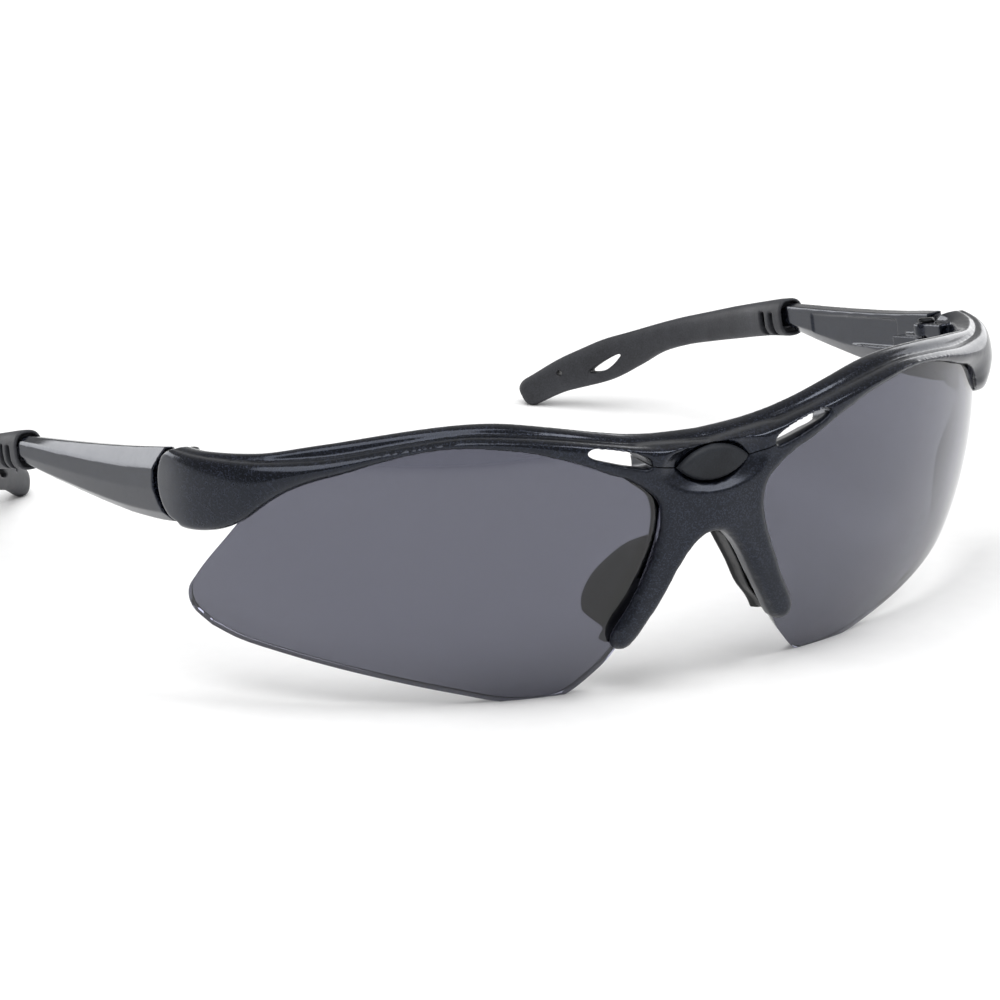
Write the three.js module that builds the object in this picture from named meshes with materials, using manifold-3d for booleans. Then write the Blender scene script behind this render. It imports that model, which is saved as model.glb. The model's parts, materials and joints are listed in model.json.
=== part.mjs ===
// Half-rimmed wrap-around safety glasses, in millimetres.
// +Z is up, +Y points back towards the wearer and X = 0 is the mirror plane. "Left" and "right" are
// the wearer's, so the left side is +X. The glasses stand open on a flat surface at Z = 0, on the
// lower edges of both lenses and on the ends of both temple tips.
import * as THREE from 'three';
import { TessellateModifier } from 'three/addons/modifiers/TessellateModifier.js';
import { mergeVertices } from 'three/addons/utils/BufferGeometryUtils.js';
import Module from 'manifold-3d';

const wasm = await Module();
wasm.setup();

// Driving dimensions
const gap = 0.3;                      // between two pieces that touch
const lensCentre = [14, 66, 31.2];    // centre of each lens's outer sphere, mirrored for the right
const lensRadius = 66.1;
const lensThickness = 2.2;
const rimLip = 1.3;                   // the frame's front stands this far proud of the lens
const noseBulge = 1.1;                // extra forward bulge of the frame over the nose
const legLead = 1.4;                  // the legs' lower ends lead the lens by this much more
const hinge = [68.6, 42, 34.2];       // middle of the left hinge pin
const templeTilt = THREE.MathUtils.degToRad(13);   // temples slope down to their tips
const templeSplay = 0.0175;           // and spread by this much for each millimetre of length
const endRadius = 5.9;                // rounded end of the brow bar, in side view
const endCentre = [-4.7, -0.5];       // its centre from the hinge pin, along and up
const endGap = 2;                     // between that end and the temple
const lugRadius = 2.2;
const lugReach = 3.8;                 // half height of the hinge's stack of lugs
const knuckleReach = 1.4;             // half height of the temple's own lug
const pinRadius = 0.75;
const seamRise = 37.3;                // height of the seam between brow bar and bridge
const capHalf = [6.6, 2.9];           // half width and half height of the oval cap
const dishHalf = [10.4, 4.6];         // and of the dished surface round it
const dishDepth = 1.2;
const screwRise = 38.9;               // height of the bridge screw

const V = (x, y, z) => new THREE.Vector3(x, y, z);

// ---------------------------------------------------------------- solids
function toGeometry(positions, index) {
  const geometry = new THREE.BufferGeometry();
  geometry.setAttribute('position', new THREE.Float32BufferAttribute(positions, 3));
  geometry.setIndex(index);
  return geometry;
}

function signedVolume(geometry) {
  const p = geometry.getAttribute('position');
  const index = geometry.getIndex().array;
  let sum = 0;
  for (let i = 0; i < index.length; i += 3) {
    const [a, b, c] = [0, 1, 2].map((k) => V().fromBufferAttribute(p, index[i + k]));
    sum += a.dot(b.cross(c));
  }
  return sum / 6;
}

// Faces point out, whichever way the geometry was wound
function outward(geometry) {
  if (signedVolume(geometry) < 0) {
    const index = geometry.getIndex().array;
    for (let i = 0; i < index.length; i += 3) [index[i], index[i + 1]] = [index[i + 1], index[i]];
  }
  return geometry;
}

function welded(geometry) {
  const bare = geometry.clone();
  for (const name of Object.keys(bare.attributes)) {
    if (name !== 'position') bare.deleteAttribute(name);
  }
  return outward(mergeVertices(bare, 1e-4));
}

function solid(geometry) {
  const clean = welded(geometry);
  return new wasm.Manifold(new wasm.Mesh({
    numProp: 3,
    vertProperties: new Float32Array(clean.getAttribute('position').array),
    triVerts: new Uint32Array(clean.getIndex().array),
  }));
}

function fromSolid(body) {
  const mesh = body.getMesh();
  return toGeometry(Array.from(mesh.vertProperties), Array.from(mesh.triVerts));
}

// A skin through rings of equal length, closed by a fan at each end
function loft(rings) {
  const count = rings[0].length;
  const positions = [];
  const index = [];
  rings.forEach((ring) => ring.forEach((p) => positions.push(p.x, p.y, p.z)));
  for (let i = 0; i + 1 < rings.length; i += 1) {
    for (let j = 0; j < count; j += 1) {
      const a = i * count + j;
      const b = i * count + ((j + 1) % count);
      index.push(a, b, b + count, a, b + count, a + count);
    }
  }
  for (const [ring, start, turn] of [[rings[0], 0, 1], [rings.at(-1), (rings.length - 1) * count, -1]]) {
    const middle = ring.reduce((sum, p) => sum.add(p), V(0, 0, 0)).divideScalar(count);
    const hub = positions.length / 3;
    positions.push(middle.x, middle.y, middle.z);
    for (let j = 0; j < count; j += 1) {
      const a = start + j;
      const b = start + ((j + 1) % count);
      index.push(...(turn > 0 ? [hub, b, a] : [hub, a, b]));
    }
  }
  return outward(toGeometry(positions, index));
}

// A closed plate between two grids of points, front[i][j] and back[i][j]
function plate(front, back) {
  const [rows, columns] = [front.length, front[0].length];
  const positions = [front, back].flat(2).flatMap((p) => [p.x, p.y, p.z]);
  const at = (side, i, j) => (side * rows + i) * columns + j;
  const index = [];
  const quad = (a, b, c, d) => index.push(a, b, c, a, c, d);
  for (let i = 0; i + 1 < rows; i += 1) {
    for (let j = 0; j + 1 < columns; j += 1) {
      quad(at(0, i, j), at(0, i + 1, j), at(0, i + 1, j + 1), at(0, i, j + 1));
      quad(at(1, i, j), at(1, i, j + 1), at(1, i + 1, j + 1), at(1, i + 1, j));
    }
    quad(at(0, i, 0), at(1, i, 0), at(1, i + 1, 0), at(0, i + 1, 0));
    quad(at(0, i, columns - 1), at(0, i + 1, columns - 1), at(1, i + 1, columns - 1), at(1, i, columns - 1));
  }
  for (let j = 0; j + 1 < columns; j += 1) {
    quad(at(0, 0, j), at(0, 0, j + 1), at(1, 0, j + 1), at(1, 0, j));
    quad(at(0, rows - 1, j), at(1, rows - 1, j), at(1, rows - 1, j + 1), at(0, rows - 1, j + 1));
  }
  return outward(toGeometry(positions, index));
}

// A smooth curve through hand-set [station, value] stops
function through(stops) {
  const curve = new THREE.CatmullRomCurve3(stops.map(([s, v]) => V(s, v, 0)), false, 'centripetal');
  const samples = curve.getPoints(12 * (stops.length - 1));
  return (s) => {
    let k = 1;
    while (k < samples.length - 1 && samples[k].x < s) k += 1;
    const [a, b] = [samples[k - 1], samples[k]];
    const t = THREE.MathUtils.clamp((s - a.x) / (b.x - a.x || 1), 0, 1);
    return a.y + (b.y - a.y) * t;
  };
}

function outline(points) {
  return new THREE.CatmullRomCurve3(points.map(([x, z]) => V(x, 0, z)), false, 'centripetal');
}

// A front-view outline (x, z) made a prism that runs back from y = near to y = far
function frontPrism(points, near, far) {
  const shape = new THREE.Shape(points.map(([x, z]) => new THREE.Vector2(x, z)));
  const geometry = new THREE.ExtrudeGeometry(shape, { depth: far - near, bevelEnabled: false });
  return geometry.rotateX(Math.PI / 2).translate(0, far, 0);
}

function cylinderUp(radius, low, high, sides = 24) {
  const geometry = new THREE.CylinderGeometry(radius, radius, high - low, sides);
  return geometry.rotateX(Math.PI / 2).translate(0, 0, (low + high) / 2);
}

function block(low, high) {
  const size = high.map((h, i) => h - low[i]);
  const geometry = new THREE.BoxGeometry(...size);
  return geometry.translate(...low.map((l, i) => l + size[i] / 2));
}

const mirrored = (geometry) => outward(welded(geometry.clone().scale(-1, 1, 1)));

// Moves a geometry from the hinge's own frame, tilted with the temple, to the object's frame
const hingeMatrix = new THREE.Matrix4().makeRotationX(-templeTilt).setPosition(...hinge);
const toObject = (geometry) => geometry.clone().applyMatrix4(hingeMatrix);
const inHingeFrame = hingeMatrix.clone().invert().toArray();

// ---------------------------------------------------------------- lenses
const lensEdges = {
  bottom: [[18.6, 2.4], [20.4, 0.7], [22.6, -0.5], [29, -0.5], [33, 0.3], [38, 1.8], [44, 3.5], [50, 5.2],
    [56, 6.9], [62, 8.7], [66.5, 10.2], [69.3, 11.9]],
  outer: [[69.3, 11.9], [71.3, 14.4], [72.1, 17.6], [71.7, 20.6], [70.8, 24], [69.3, 28], [68, 31],
    [66.8, 33.2]],
  top: [[8.4, 31], [10.2, 33.4], [12.7, 35.7], [15.6, 37], [18.3, 38.4], [21.8, 39.8], [26.3, 42],
    [31, 43.7], [35, 44.5], [41, 45], [46.5, 44.5], [52, 43], [57, 41.2], [60.5, 39.8], [63, 38.2],
    [65.2, 36], [66.8, 33.2]],
  inner: [[18.6, 2.4], [15.8, 5.6], [13.9, 9], [12.6, 14], [11.2, 19], [9.8, 23.5], [8.9, 27], [8.4, 31]],
};

function lensPoint(x, z, radius) {
  const [cx, cy, cz] = lensCentre;
  return V(x, cy - Math.sqrt(radius ** 2 - (x - cx) ** 2 - (z - cz) ** 2), z);
}

// Coons patch between the four edges of the outline, laid on a sphere; `grow` widens it all round
function lens(columns, rows, grow = 0) {
  const [bottom, outer, top, inner] = ['bottom', 'outer', 'top', 'inner'].map((k) => outline(lensEdges[k]));
  const heart = V(40, 0, 22);
  const at = (i, j) => {
    const [u, v] = [i / columns, j / rows];
    const point = V(0, 0, 0);
    point.addScaledVector(bottom.getPoint(u), 1 - v).addScaledVector(top.getPoint(u), v);
    point.addScaledVector(inner.getPoint(v), 1 - u).addScaledVector(outer.getPoint(v), u);
    for (const [curve, t, weight] of [[bottom, 0, (1 - u) * (1 - v)], [bottom, 1, u * (1 - v)],
      [top, 0, (1 - u) * v], [top, 1, u * v]]) point.addScaledVector(curve.getPoint(t), -weight);
    const away = point.clone().sub(heart).normalize();
    return point.addScaledVector(away, grow);
  };
  const skin = (radius) => Array.from({ length: columns + 1 }, (_, i) => Array.from(
    { length: rows + 1 },
    (__, j) => {
      const p = at(i, j);
      const middle = V(...lensCentre);
      return lensPoint(p.x, p.z, lensRadius).sub(middle).multiplyScalar(radius / lensRadius).add(middle);
    },
  ));
  return plate(skin(lensRadius + grow), skin(lensRadius - lensThickness - grow));
}

// Flat where the lens stands on its lower edge
function standingLens() {
  return fromSolid(solid(lens(30, 9)).subtract(solid(block([-200, -200, -60], [200, 200, 0]))));
}

// ---------------------------------------------------------------- frame front
// y of the frame's front surface: a sphere over each lens, joined by a straight run over the nose
function frontAt(x, z) {
  const side = Math.max(Math.abs(x) - lensCentre[0], 0);
  const reach = (lensRadius + rimLip) ** 2 - side ** 2 - (z - lensCentre[2]) ** 2;
  const bulge = noseBulge * Math.exp(-((x / 9) ** 2));
  const { smoothstep } = THREE.MathUtils;
  const lead = smoothstep(28 - z, 0, 20) * smoothstep(-Math.abs(x), -24, -17);
  return lensCentre[1] - Math.sqrt(reach) - bulge - legLead * lead;
}

// The brow bar's section at each station: where the front face starts and ends, the crest, and
// the depth behind the front face of the crest and of the rear face
const bar = {
  low: through([[0, 36], [10, 36], [14, 36.6], [18.3, 38], [21.8, 39.6], [26.3, 41.3], [31, 42.7],
    [35, 43.4], [41, 44], [46.5, 43.5], [52, 42], [57, 40], [61, 38.3], [64, 36.4], [66.3, 34],
    [68, 31.4], [70, 29.2], [72, 28.2], [74, 28]]),
  shoulder: through([[0, 40.4], [10, 40.9], [18.3, 42.4], [27, 44], [35, 45], [41, 45.2], [49.7, 44],
    [60, 41.8], [68, 40.6], [74, 39.8]]),
  crest: through([[0, 41.4], [10, 41.8], [18.3, 43.3], [27, 45], [35, 46.2], [41, 46.3], [49.7, 45.4],
    [60, 43.4], [68, 41.3], [74, 40]]),
  crestDepth: through([[0, 6.6], [10, 6.4], [18.3, 5.9], [35, 5.4], [49.7, 4.6], [60, 3.6], [68, 2.4],
    [74, 1.8]]),
  bulge: through([[0, 0.1], [50, 0.3], [57, 0.8], [63, 1.5], [68, 1.8], [72, 1], [74, 0.3]]),
  depth: through([[0, 7.6], [10, 7.4], [18.3, 7], [35, 6.9], [49.7, 6.4], [60, 5.6], [68, 4.8], [74, 4.4]]),
};

// Plan of the front face beyond the sphere, where the bar turns straight back: [station, x, y]
const barTurn = [[66, 66, 23.4], [68.5, 69, 27.2], [70.5, 71.6, 31.4], [72, 73.2, 35.2], [73.2, 74, 39.6],
  [74, 74.2, 45.5]];

function barPlan() {
  const points = [];
  for (let s = 0; s <= 62; s += s < 24 ? 4 : 3.5) points.push([s, s, null]);
  return [...points, ...barTurn].map(([s, x, y]) => ({ s, x, y: y ?? frontAt(x, bar.low(s) + 2) }));
}

const ringPoints = 20;

function barRing(plan, k) {
  const here = plan[k];
  const before = plan[Math.max(k - 1, 0)];
  const after = plan[Math.min(k + 1, plan.length - 1)];
  const back = V(before.y - after.y, after.x - before.x, 0).normalize();
  if (k === 0) back.set(0, 1, 0);
  const { s } = here;
  const [low, shoulder, crest] = [bar.low(s), bar.shoulder(s), bar.crest(s)];
  const [crestDepth, depth, bulge] = [bar.crestDepth(s), bar.depth(s), bar.bulge(s)];
  const rise = crest - shoulder;
  const section = [[0.5, low - 0.1], [-0.4 * bulge, low + 0.6], [-bulge, (low + shoulder) / 2 + 0.4],
    [0.2 - 0.6 * bulge, shoulder - 0.3], [crestDepth * 0.2, shoulder + 0.15],
    [crestDepth * 0.6, shoulder + rise * 0.15], [crestDepth * 0.68, shoulder + rise * 0.75],
    [crestDepth, crest + 0.1], [depth - 0.4, crest - 0.5], [depth, crest - 1.8],
    [depth - 0.3, low + 0.9], [depth - 1.3, low], [depth / 2, low - 0.2]];
  const curve = new THREE.CatmullRomCurve3(
    section.map(([d, z]) => V(here.x + back.x * d, here.y + back.y * d, z)),
    true,
    'centripetal',
  );
  return curve.getPoints(ringPoints).slice(0, ringPoints);
}

function barBody() {
  const plan = barPlan();
  const half = plan.map((_, k) => barRing(plan, k));
  const other = half.slice(1).map((ring) => ring.map((p) => V(-p.x, p.y, p.z))).reverse();
  return solid(loft([...other, ...half]));
}

// Front-view outline of the bridge: arms under the vent slots, waist, legs and nose notch
const bridgeHalf = [[0, 26], [1.9, 25.5], [3.7, 24], [5.6, 21.4], [7.9, 17.1], [10.5, 12.7], [12.5, 9.5],
  [13.5, 8.3], [14.7, 7.9], [15.9, 8.4], [16.5, 9.8], [16.2, 11.6], [14.2, 15.4], [12.1, 20.5], [10.4, 25.2],
  [9.6, 29.3], [10.2, 32.4], [12.7, 34.7], [15.6, 36.5], [18.3, 38], [21.8, 39.6], [28.5, 41.6],
  [28.5, 43.6], [13, 41.5], [0, 40.6]];
const bridgeDepth = through([[8, 4.6], [14, 4.6], [24, 5.2], [32, 6], [42, 6.2]]);

function bridgeBody() {
  const other = bridgeHalf.slice(1, -1).reverse().map(([x, z]) => [-x, z]);
  const shape = new THREE.Shape([...bridgeHalf, ...other].map(([x, z]) => new THREE.Vector2(x, z)));
  const coarse = new THREE.ExtrudeGeometry(shape, {
    depth: 1,
    bevelEnabled: true,
    bevelThickness: 0.25,
    bevelSize: 0.6,
    bevelOffset: -0.6,
    bevelSegments: 2,
  });
  const geometry = welded(new TessellateModifier(3, 8).modify(coarse));
  const p = geometry.getAttribute('position');
  for (let i = 0; i < p.count; i += 1) {
    const [x, z] = [p.getX(i), p.getY(i)];
    const depth = THREE.MathUtils.mapLinear(p.getZ(i), 1.25, -0.25, 0, bridgeDepth(z));
    p.setXYZ(i, x, frontAt(x, z) + depth, z);
  }
  return solid(outward(geometry));
}

// Vent slot at the front, straight for the thickness of the front wall, then deeper behind it
const ventSlot = [[11.4, 38.2], [11.4, 39.3], [13.1, 40.5], [15.8, 41.4], [19.3, 42.2], [21.3, 42.5],
  [22.3, 42], [21.4, 41.1], [18.3, 39.9], [14.9, 38.8], [12.4, 38.2]];
const slotFlare = { wall: 0.7, far: 12, deepen: 4.8 };
const slotFloor = (x, z) => z < 38.9 || (x > 18 && z < 41.5);   // the corners of its lower edge

function ventSlots() {
  const { wall, far, deepen } = slotFlare;
  const flared = ventSlot.map(([x, z]) => [x, slotFloor(x, z) ? z - deepen : z]);
  const ring = (points, y) => points.map(([x, z]) => V(x, y, z));
  const slot = loft([ring(ventSlot, -10), ring(ventSlot, wall), ring(flared, far)]);
  return solid(slot).add(solid(mirrored(slot)));
}

// The hollow round the cap, cut down from in front of the frame
function frontDish() {
  const [halfWidth, halfHeight] = dishHalf;
  const depthAt = (x, z) => {
    const reach = Math.hypot(x / halfWidth, (z - seamRise) / halfHeight);
    return dishDepth - (dishDepth + 0.6) * THREE.MathUtils.smoothstep(reach, 0.6, 1.15);
  };
  const grid = (fn) => Array.from({ length: 25 }, (_, i) => Array.from({ length: 13 }, (__, j) => {
    const x = (i / 12 - 1) * halfWidth * 1.2;
    const z = seamRise + (j / 6 - 1) * halfHeight * 1.2;
    return V(x, fn(x, z), z);
  }));
  return solid(plate(grid(() => -20), grid((x, z) => frontAt(x, z) + depthAt(x, z))));
}

// Everything under the seam belongs to the bridge: over the slots' middles, down past their outer ends
function underSeam(shift) {
  const half = [[6.6, seamRise], [11.6, 38.6], [17, 40.2], [22.9, 41.7], [23.6, 40], [24.4, 36], [24.4, 0]];
  const right = half.map(([x, z]) => [x + (x > 23 ? shift : 0), z + shift]);
  const left = [...right].reverse().map(([x, z]) => [-x, z]);
  return solid(frontPrism([...right, ...left], -12, 14));
}

// A pointed oval: two arcs that meet at its left and right ends
function ovalShape([halfWidth, halfHeight], rise, segments = 14) {
  const radius = (halfWidth ** 2 + halfHeight ** 2) / (2 * halfHeight);
  const spread = Math.asin(halfWidth / radius);
  const arc = Array.from({ length: segments }, (_, k) => {
    const turn = spread * (1 - (2 * k) / segments);
    return [radius * Math.sin(turn), radius * Math.cos(turn) - radius + halfHeight];
  });
  const upper = arc.map(([x, z]) => new THREE.Vector2(x, rise + z));
  const lower = arc.map(([x, z]) => new THREE.Vector2(-x, rise - z));
  return new THREE.Shape([...upper, ...lower]);
}

function ovalPrism(grow, near, far) {
  const half = capHalf.map((size) => size + grow);
  const geometry = new THREE.ExtrudeGeometry(ovalShape(half, seamRise), {
    depth: far - near, bevelEnabled: false,
  });
  return geometry.rotateX(Math.PI / 2).translate(0, far, 0);
}

const capFace = frontAt(0, seamRise) + 0.5;
const capFloor = frontAt(0, seamRise) + 2.2;

function bridgeCap() {
  const geometry = new THREE.ExtrudeGeometry(ovalShape(capHalf, seamRise), {
    depth: 1.2,
    bevelEnabled: true,
    bevelThickness: 0.5,
    bevelSize: 0.9,
    bevelOffset: -0.9,
    bevelSegments: 2,
  });
  const dome = solid(geometry.rotateX(Math.PI / 2).translate(0, capFace + 1.7, 0));
  const room = solid(block([-10, capFace - 3, 25], [10, capFloor - gap, 50]));
  return fromSolid(dome.intersect(room));
}

// The bridge's tongue stands up behind the brow bar and takes the screw
const tongue = { half: 4.6, near: 2.6, far: 5.4, top: 40.6 };

function screwShape(headRadius, headDepth, shankRadius, length) {
  const profile = [[0, 0], [headRadius, 0], [headRadius, headDepth], [shankRadius, headDepth + 0.3],
    [shankRadius, length], [0, length]].map(([r, d]) => new THREE.Vector2(r, d));
  return new THREE.LatheGeometry(profile, 20);
}

const bridgeScrew = { headRadius: 1.35, headDepth: 0.7, shankRadius: 0.7, length: 5.4 };

function bridgeScrewBody(grow) {
  const { headRadius, headDepth, shankRadius, length } = bridgeScrew;
  const shape = screwShape(headRadius + grow, headDepth + grow, shankRadius + grow * 0.6, length + grow);
  return shape.translate(0, capFloor - grow * 0.5, screwRise);
}

// ---------------------------------------------------------------- hinges
// In the hinge's own frame: X = 0, Y = 0 is the pin, Z runs along it
function frameLugs() {
  return solid(cylinderUp(lugRadius, -lugReach, lugReach))
    .add(solid(block([-1.6, -6.5, -lugReach], [2.4, 0, lugReach])));
}

// Room in the frame for the temple's lug and its web, the screw's head and the lugs' own hole
function hingeRoom() {
  const reach = knuckleReach + 0.25;
  return solid(cylinderUp(lugRadius + 0.35, -reach, reach))
    .add(solid(block([-4, 0, -reach], [0.75, 9, reach])))
    .add(solid(cylinderUp(1.75, lugReach, lugReach + 4)))
    .add(solid(cylinderUp(pinRadius + 0.12, -12, 12)))
    .add(hingeNut(0.12));
}

const screwHead = { radius: 1.4, low: lugReach + 0.15, height: 0.6 };
const nutSize = { radius: 1.45, height: 1.1 };

function hingeScrew() {
  const { radius, low, height } = screwHead;
  const profile = [[0, -lugReach + 0.4], [pinRadius, -lugReach + 0.4], [pinRadius, low], [radius, low],
    [radius, low + height / 2], [radius - 0.4, low + height], [0, low + height]];
  const body = new THREE.LatheGeometry(profile.map(([r, z]) => new THREE.Vector2(r, z)), 20);
  const slot = solid(block([-2, -0.2, low + height / 2], [2, 0.2, low + 2]));
  return fromSolid(solid(body.rotateX(Math.PI / 2)).subtract(slot));
}

function hingeNut(grow = 0) {
  const { radius, height } = nutSize;
  const low = -lugReach + 0.1 - grow;
  return solid(cylinderUp(radius + grow, low, low + height + 2 * grow, 6));
}

// ---------------------------------------------------------------- temples and tips
const shell = {
  rear: 49.6,                                       // from the pin to the end of the hard shell
  top: through([[-6, 5.4], [4, 5.1], [14, 4.8], [30, 4.7], [49.6, 4.9]]),
  height: through([[-6, 12], [4, 11.7], [14, 10.7], [24, 9.2], [34, 7.5], [42, 6.1], [49.6, 4.6]]),
  crease: through([[-6, 3.2], [10, 2.9], [30, 2], [49.6, 0.9]]),
  thickness: through([[-6, 4.2], [20, 4.1], [49.6, 3.6]]),
};
const outerFace = 5.6;                              // from the pin to the shell's outer face

const tipPath = {                                   // [distance behind the pin, value]
  side: through([[44, 4.4], [50, 4.4], [58, 4.2], [66, 3.5], [74, 2], [81, -0.7], [87.5, -4.4], [93.5, -9.3],
    [100, -15.4], [104.5, -19.7]]),
  rise: through([[44, 2.6], [50, 2.5], [54, 2.3], [60, 1.8], [72.5, 0.5], [79, -0.3], [84, -1.4], [88, -2.9],
    [93, -4.8], [98.5, -6.7], [102, -8.6], [104.5, -10]]),
  height: through([[44, 6.5], [51, 6.4], [56, 6], [66, 5.6], [72.5, 5.2], [79, 4.9], [84, 5.1], [88, 6.2],
    [92, 7.2], [96, 6.5], [100, 5.4], [104.5, 4.8]]),
  thickness: through([[44, 5.2], [51, 5.2], [56, 4.8], [66, 4.3], [80, 4.1], [92, 3.9], [104.5, 3.4]]),
};

function shellRing(y) {
  const [top, height, crease, thick] = [shell.top(y), shell.height(y), shell.crease(y), shell.thickness(y)];
  const low = top - height;
  const face = outerFace + templeSplay * Math.max(y, 0);
  const inside = face - thick;
  const ridge = face - thick * 0.45;
  const section = [[ridge, top], [face - 0.25, top - crease + 0.3], [face, top - crease - 0.3],
    [face + 0.1, (top + low) / 2 - 0.5], [face - 0.5, low + height * 0.14], [ridge, low],
    [inside + 1.8, low + 0.15], [inside, low + height * 0.36], [inside, top - height * 0.2],
    [inside + 0.2, top - 0.3]];
  return section.map(([x, z]) => V(x, y, z));
}

function shellBody() {
  const stops = [-5, 0, 5, 10, 15, 20, 25, 30, 35, 40, 44, 47];
  const rings = stops.map(shellRing);
  const nose = shellRing(shell.rear);
  const middle = nose.reduce((sum, p) => sum.add(p), V(0, 0, 0)).divideScalar(nose.length);
  rings.push(nose.map((p) => p.lerp(middle, 0.35).setY(shell.rear)));
  return solid(loft(rings));
}

// Rounded sections square to the tip's centre line
function tipRings(stations, grow = 0, scale = null) {
  return stations.map((s, k) => {
    const at = (d) => V(tipPath.side(d), d, tipPath.rise(d));
    const along = at(s + 0.5).sub(at(s - 0.5)).normalize();
    const side = V(0, 0, 1).cross(along).normalize();
    const up = along.clone().cross(side);
    const half = scale ?? [tipPath.thickness(s) / 2, tipPath.height(s) / 2];
    const end = k === stations.length - 1 && !scale ? 0.6 : 1;
    return Array.from({ length: 14 }, (_, j) => {
      const turn = (j / 14) * 2 * Math.PI;
      const [c, n] = [Math.cos(turn), Math.sin(turn)];
      const squarish = (v) => Math.sign(v) * Math.abs(v) ** 0.75;
      return at(s).addScaledVector(side, squarish(c) * (half[0] + grow) * end)
        .addScaledVector(up, squarish(n) * (half[1] + grow) * end);
    });
  });
}

// The shell's spigot runs into the tip, and a flat steel core runs on from inside it
const spigotStops = [45, 49, 53, 58, 63];
const spigotHalf = [1.15, 1.6];
const coreStops = [50, 56, 62, 68, 74, 80, 85];
const coreHalf = [0.4, 0.9];
const tipMouth = { stops: [46, 49.2, 50, 50.6], half: [2.1, 2.7] };

function spigotBody(grow) {
  return solid(loft(tipRings(spigotStops, grow, spigotHalf)));
}

function coreBody(grow) {
  const stops = grow ? [coreStops[0] - 0.4, ...coreStops.slice(1, -1), coreStops.at(-1) + 0.4] : coreStops;
  return solid(loft(tipRings(stops, grow, coreHalf)));
}

function temple() {
  const bite = solid(new THREE.CylinderGeometry(endRadius + endGap, endRadius + endGap, 30, 48)
    .rotateZ(Math.PI / 2).translate(0, endCentre[0], endCentre[1]));
  const front = solid(block([-30, -40, -30], [30, endCentre[0], 30]));
  const arm = solid(block([-1.2, 0, -knuckleReach], [0.4, 4.6, knuckleReach]))
    .add(solid(block([-1.2, 3.9, -knuckleReach], [3.6, 9, knuckleReach])));
  const knuckle = solid(cylinderUp(lugRadius, -knuckleReach, knuckleReach)).add(arm);
  const hole = solid(cylinderUp(pinRadius + 0.2, -8, 8));
  const lugRoom = solid(cylinderUp(lugRadius + 0.4, -12, 12));
  const body = shellBody().subtract(bite).subtract(front).subtract(lugRoom)
    .add(spigotBody(0)).add(knuckle).subtract(hole);
  const panel = solid(block([outerFace - 5, 12, -1.2], [outerFace - 3.5, 40, 3.6]).rotateZ(-templeSplay));
  return fromSolid(body.subtract(panel).subtract(coreBody(gap)));
}

function tipSlots() {
  const slots = [52.4, 55.3].map((y) => solid(block([-2, y - 0.8, -0.4], [12, y + 0.8, 3.5])));
  return slots[0].add(slots[1]);
}

// Leaf-shaped slot through the widest part of the tip and a pin hole behind it, both square to the tip
const leafAt = 92.3;
const pinHole = { at: 98.4, rise: 0.6, radius: 0.5 };

function acrossTip(geometry, s) {
  const at = (d) => V(tipPath.side(d), d, tipPath.rise(d));
  const along = at(s + 0.5).sub(at(s - 0.5)).normalize();
  const side = V(0, 0, 1).cross(along).normalize();
  const up = side.clone().cross(along).negate();
  const frame = new THREE.Matrix4().makeBasis(along, up, side).setPosition(at(s));
  return solid(geometry.translate(0, 0, -6).applyMatrix4(frame));
}

function tipHoles() {
  const leaf = new THREE.Shape();
  leaf.moveTo(-3.9, 0.2);
  leaf.quadraticCurveTo(0, 0.4, 3.7, -0.9);
  leaf.quadraticCurveTo(0.4, -2.8, -3.9, 0.2);
  const slot = new THREE.ExtrudeGeometry(leaf, { depth: 12, bevelEnabled: false, curveSegments: 8 });
  const pin = new THREE.CylinderGeometry(pinHole.radius, pinHole.radius, 12, 12);
  const pinShape = pin.rotateX(Math.PI / 2).translate(0, pinHole.rise, 6);
  return acrossTip(slot, leafAt).add(acrossTip(pinShape, pinHole.at));
}

function templeTip() {
  const stops = [49.2, 51, 53.4, 56, 60, 66, 72, 78, 83, 87, 90, 93, 96, 99, 101.5, 103.2, 104];
  const mouth = solid(loft(tipRings(tipMouth.stops, 0, tipMouth.half)));
  const floor = solid(block([-200, -200, -60], [200, 200, 0]));
  const body = solid(loft(tipRings(stops))).subtract(mouth).subtract(spigotBody(gap))
    .subtract(coreBody(gap)).subtract(tipSlots()).subtract(tipHoles());
  return fromSolid(body.subtract(floor.transform(inHingeFrame)));
}

// ---------------------------------------------------------------- nose pads
const pad = {
  edge: through([[7, 14.4], [9.9, 12.7], [13.6, 9.6], [18, 7.4], [22.4, 5.1], [25, 4]]),   // at the nose
  width: through([[8.2, 0.6], [9.2, 1.4], [10.2, 2.5], [11.1, 5], [12.2, 7.6], [14, 9], [16, 9.2], [18, 8.7],
    [20, 7.6], [22.2, 5.8], [23.6, 3.3], [24.6, 1]]),
  near: through([[7, 8.6], [11, 7.6], [15, 7], [25, 7]]),
  thickness: 1.7,
  splay: THREE.MathUtils.degToRad(48),      // from straight out to the side towards straight back
  stops: [8.2, 9.2, 10.2, 11.1, 12.2, 14, 16, 18, 20, 22.2, 23.6, 24.6],
};
const flange = { inset: 2, low: 8.8, high: 23.2, halfThickness: 1.1 };
const blade = { low: 12.2, high: 21.8, halfThickness: 0.4, root: 1.6, far: 7.4 };

const legBack = (z) => frontAt(pad.edge(z), z) + bridgeDepth(z);

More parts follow.
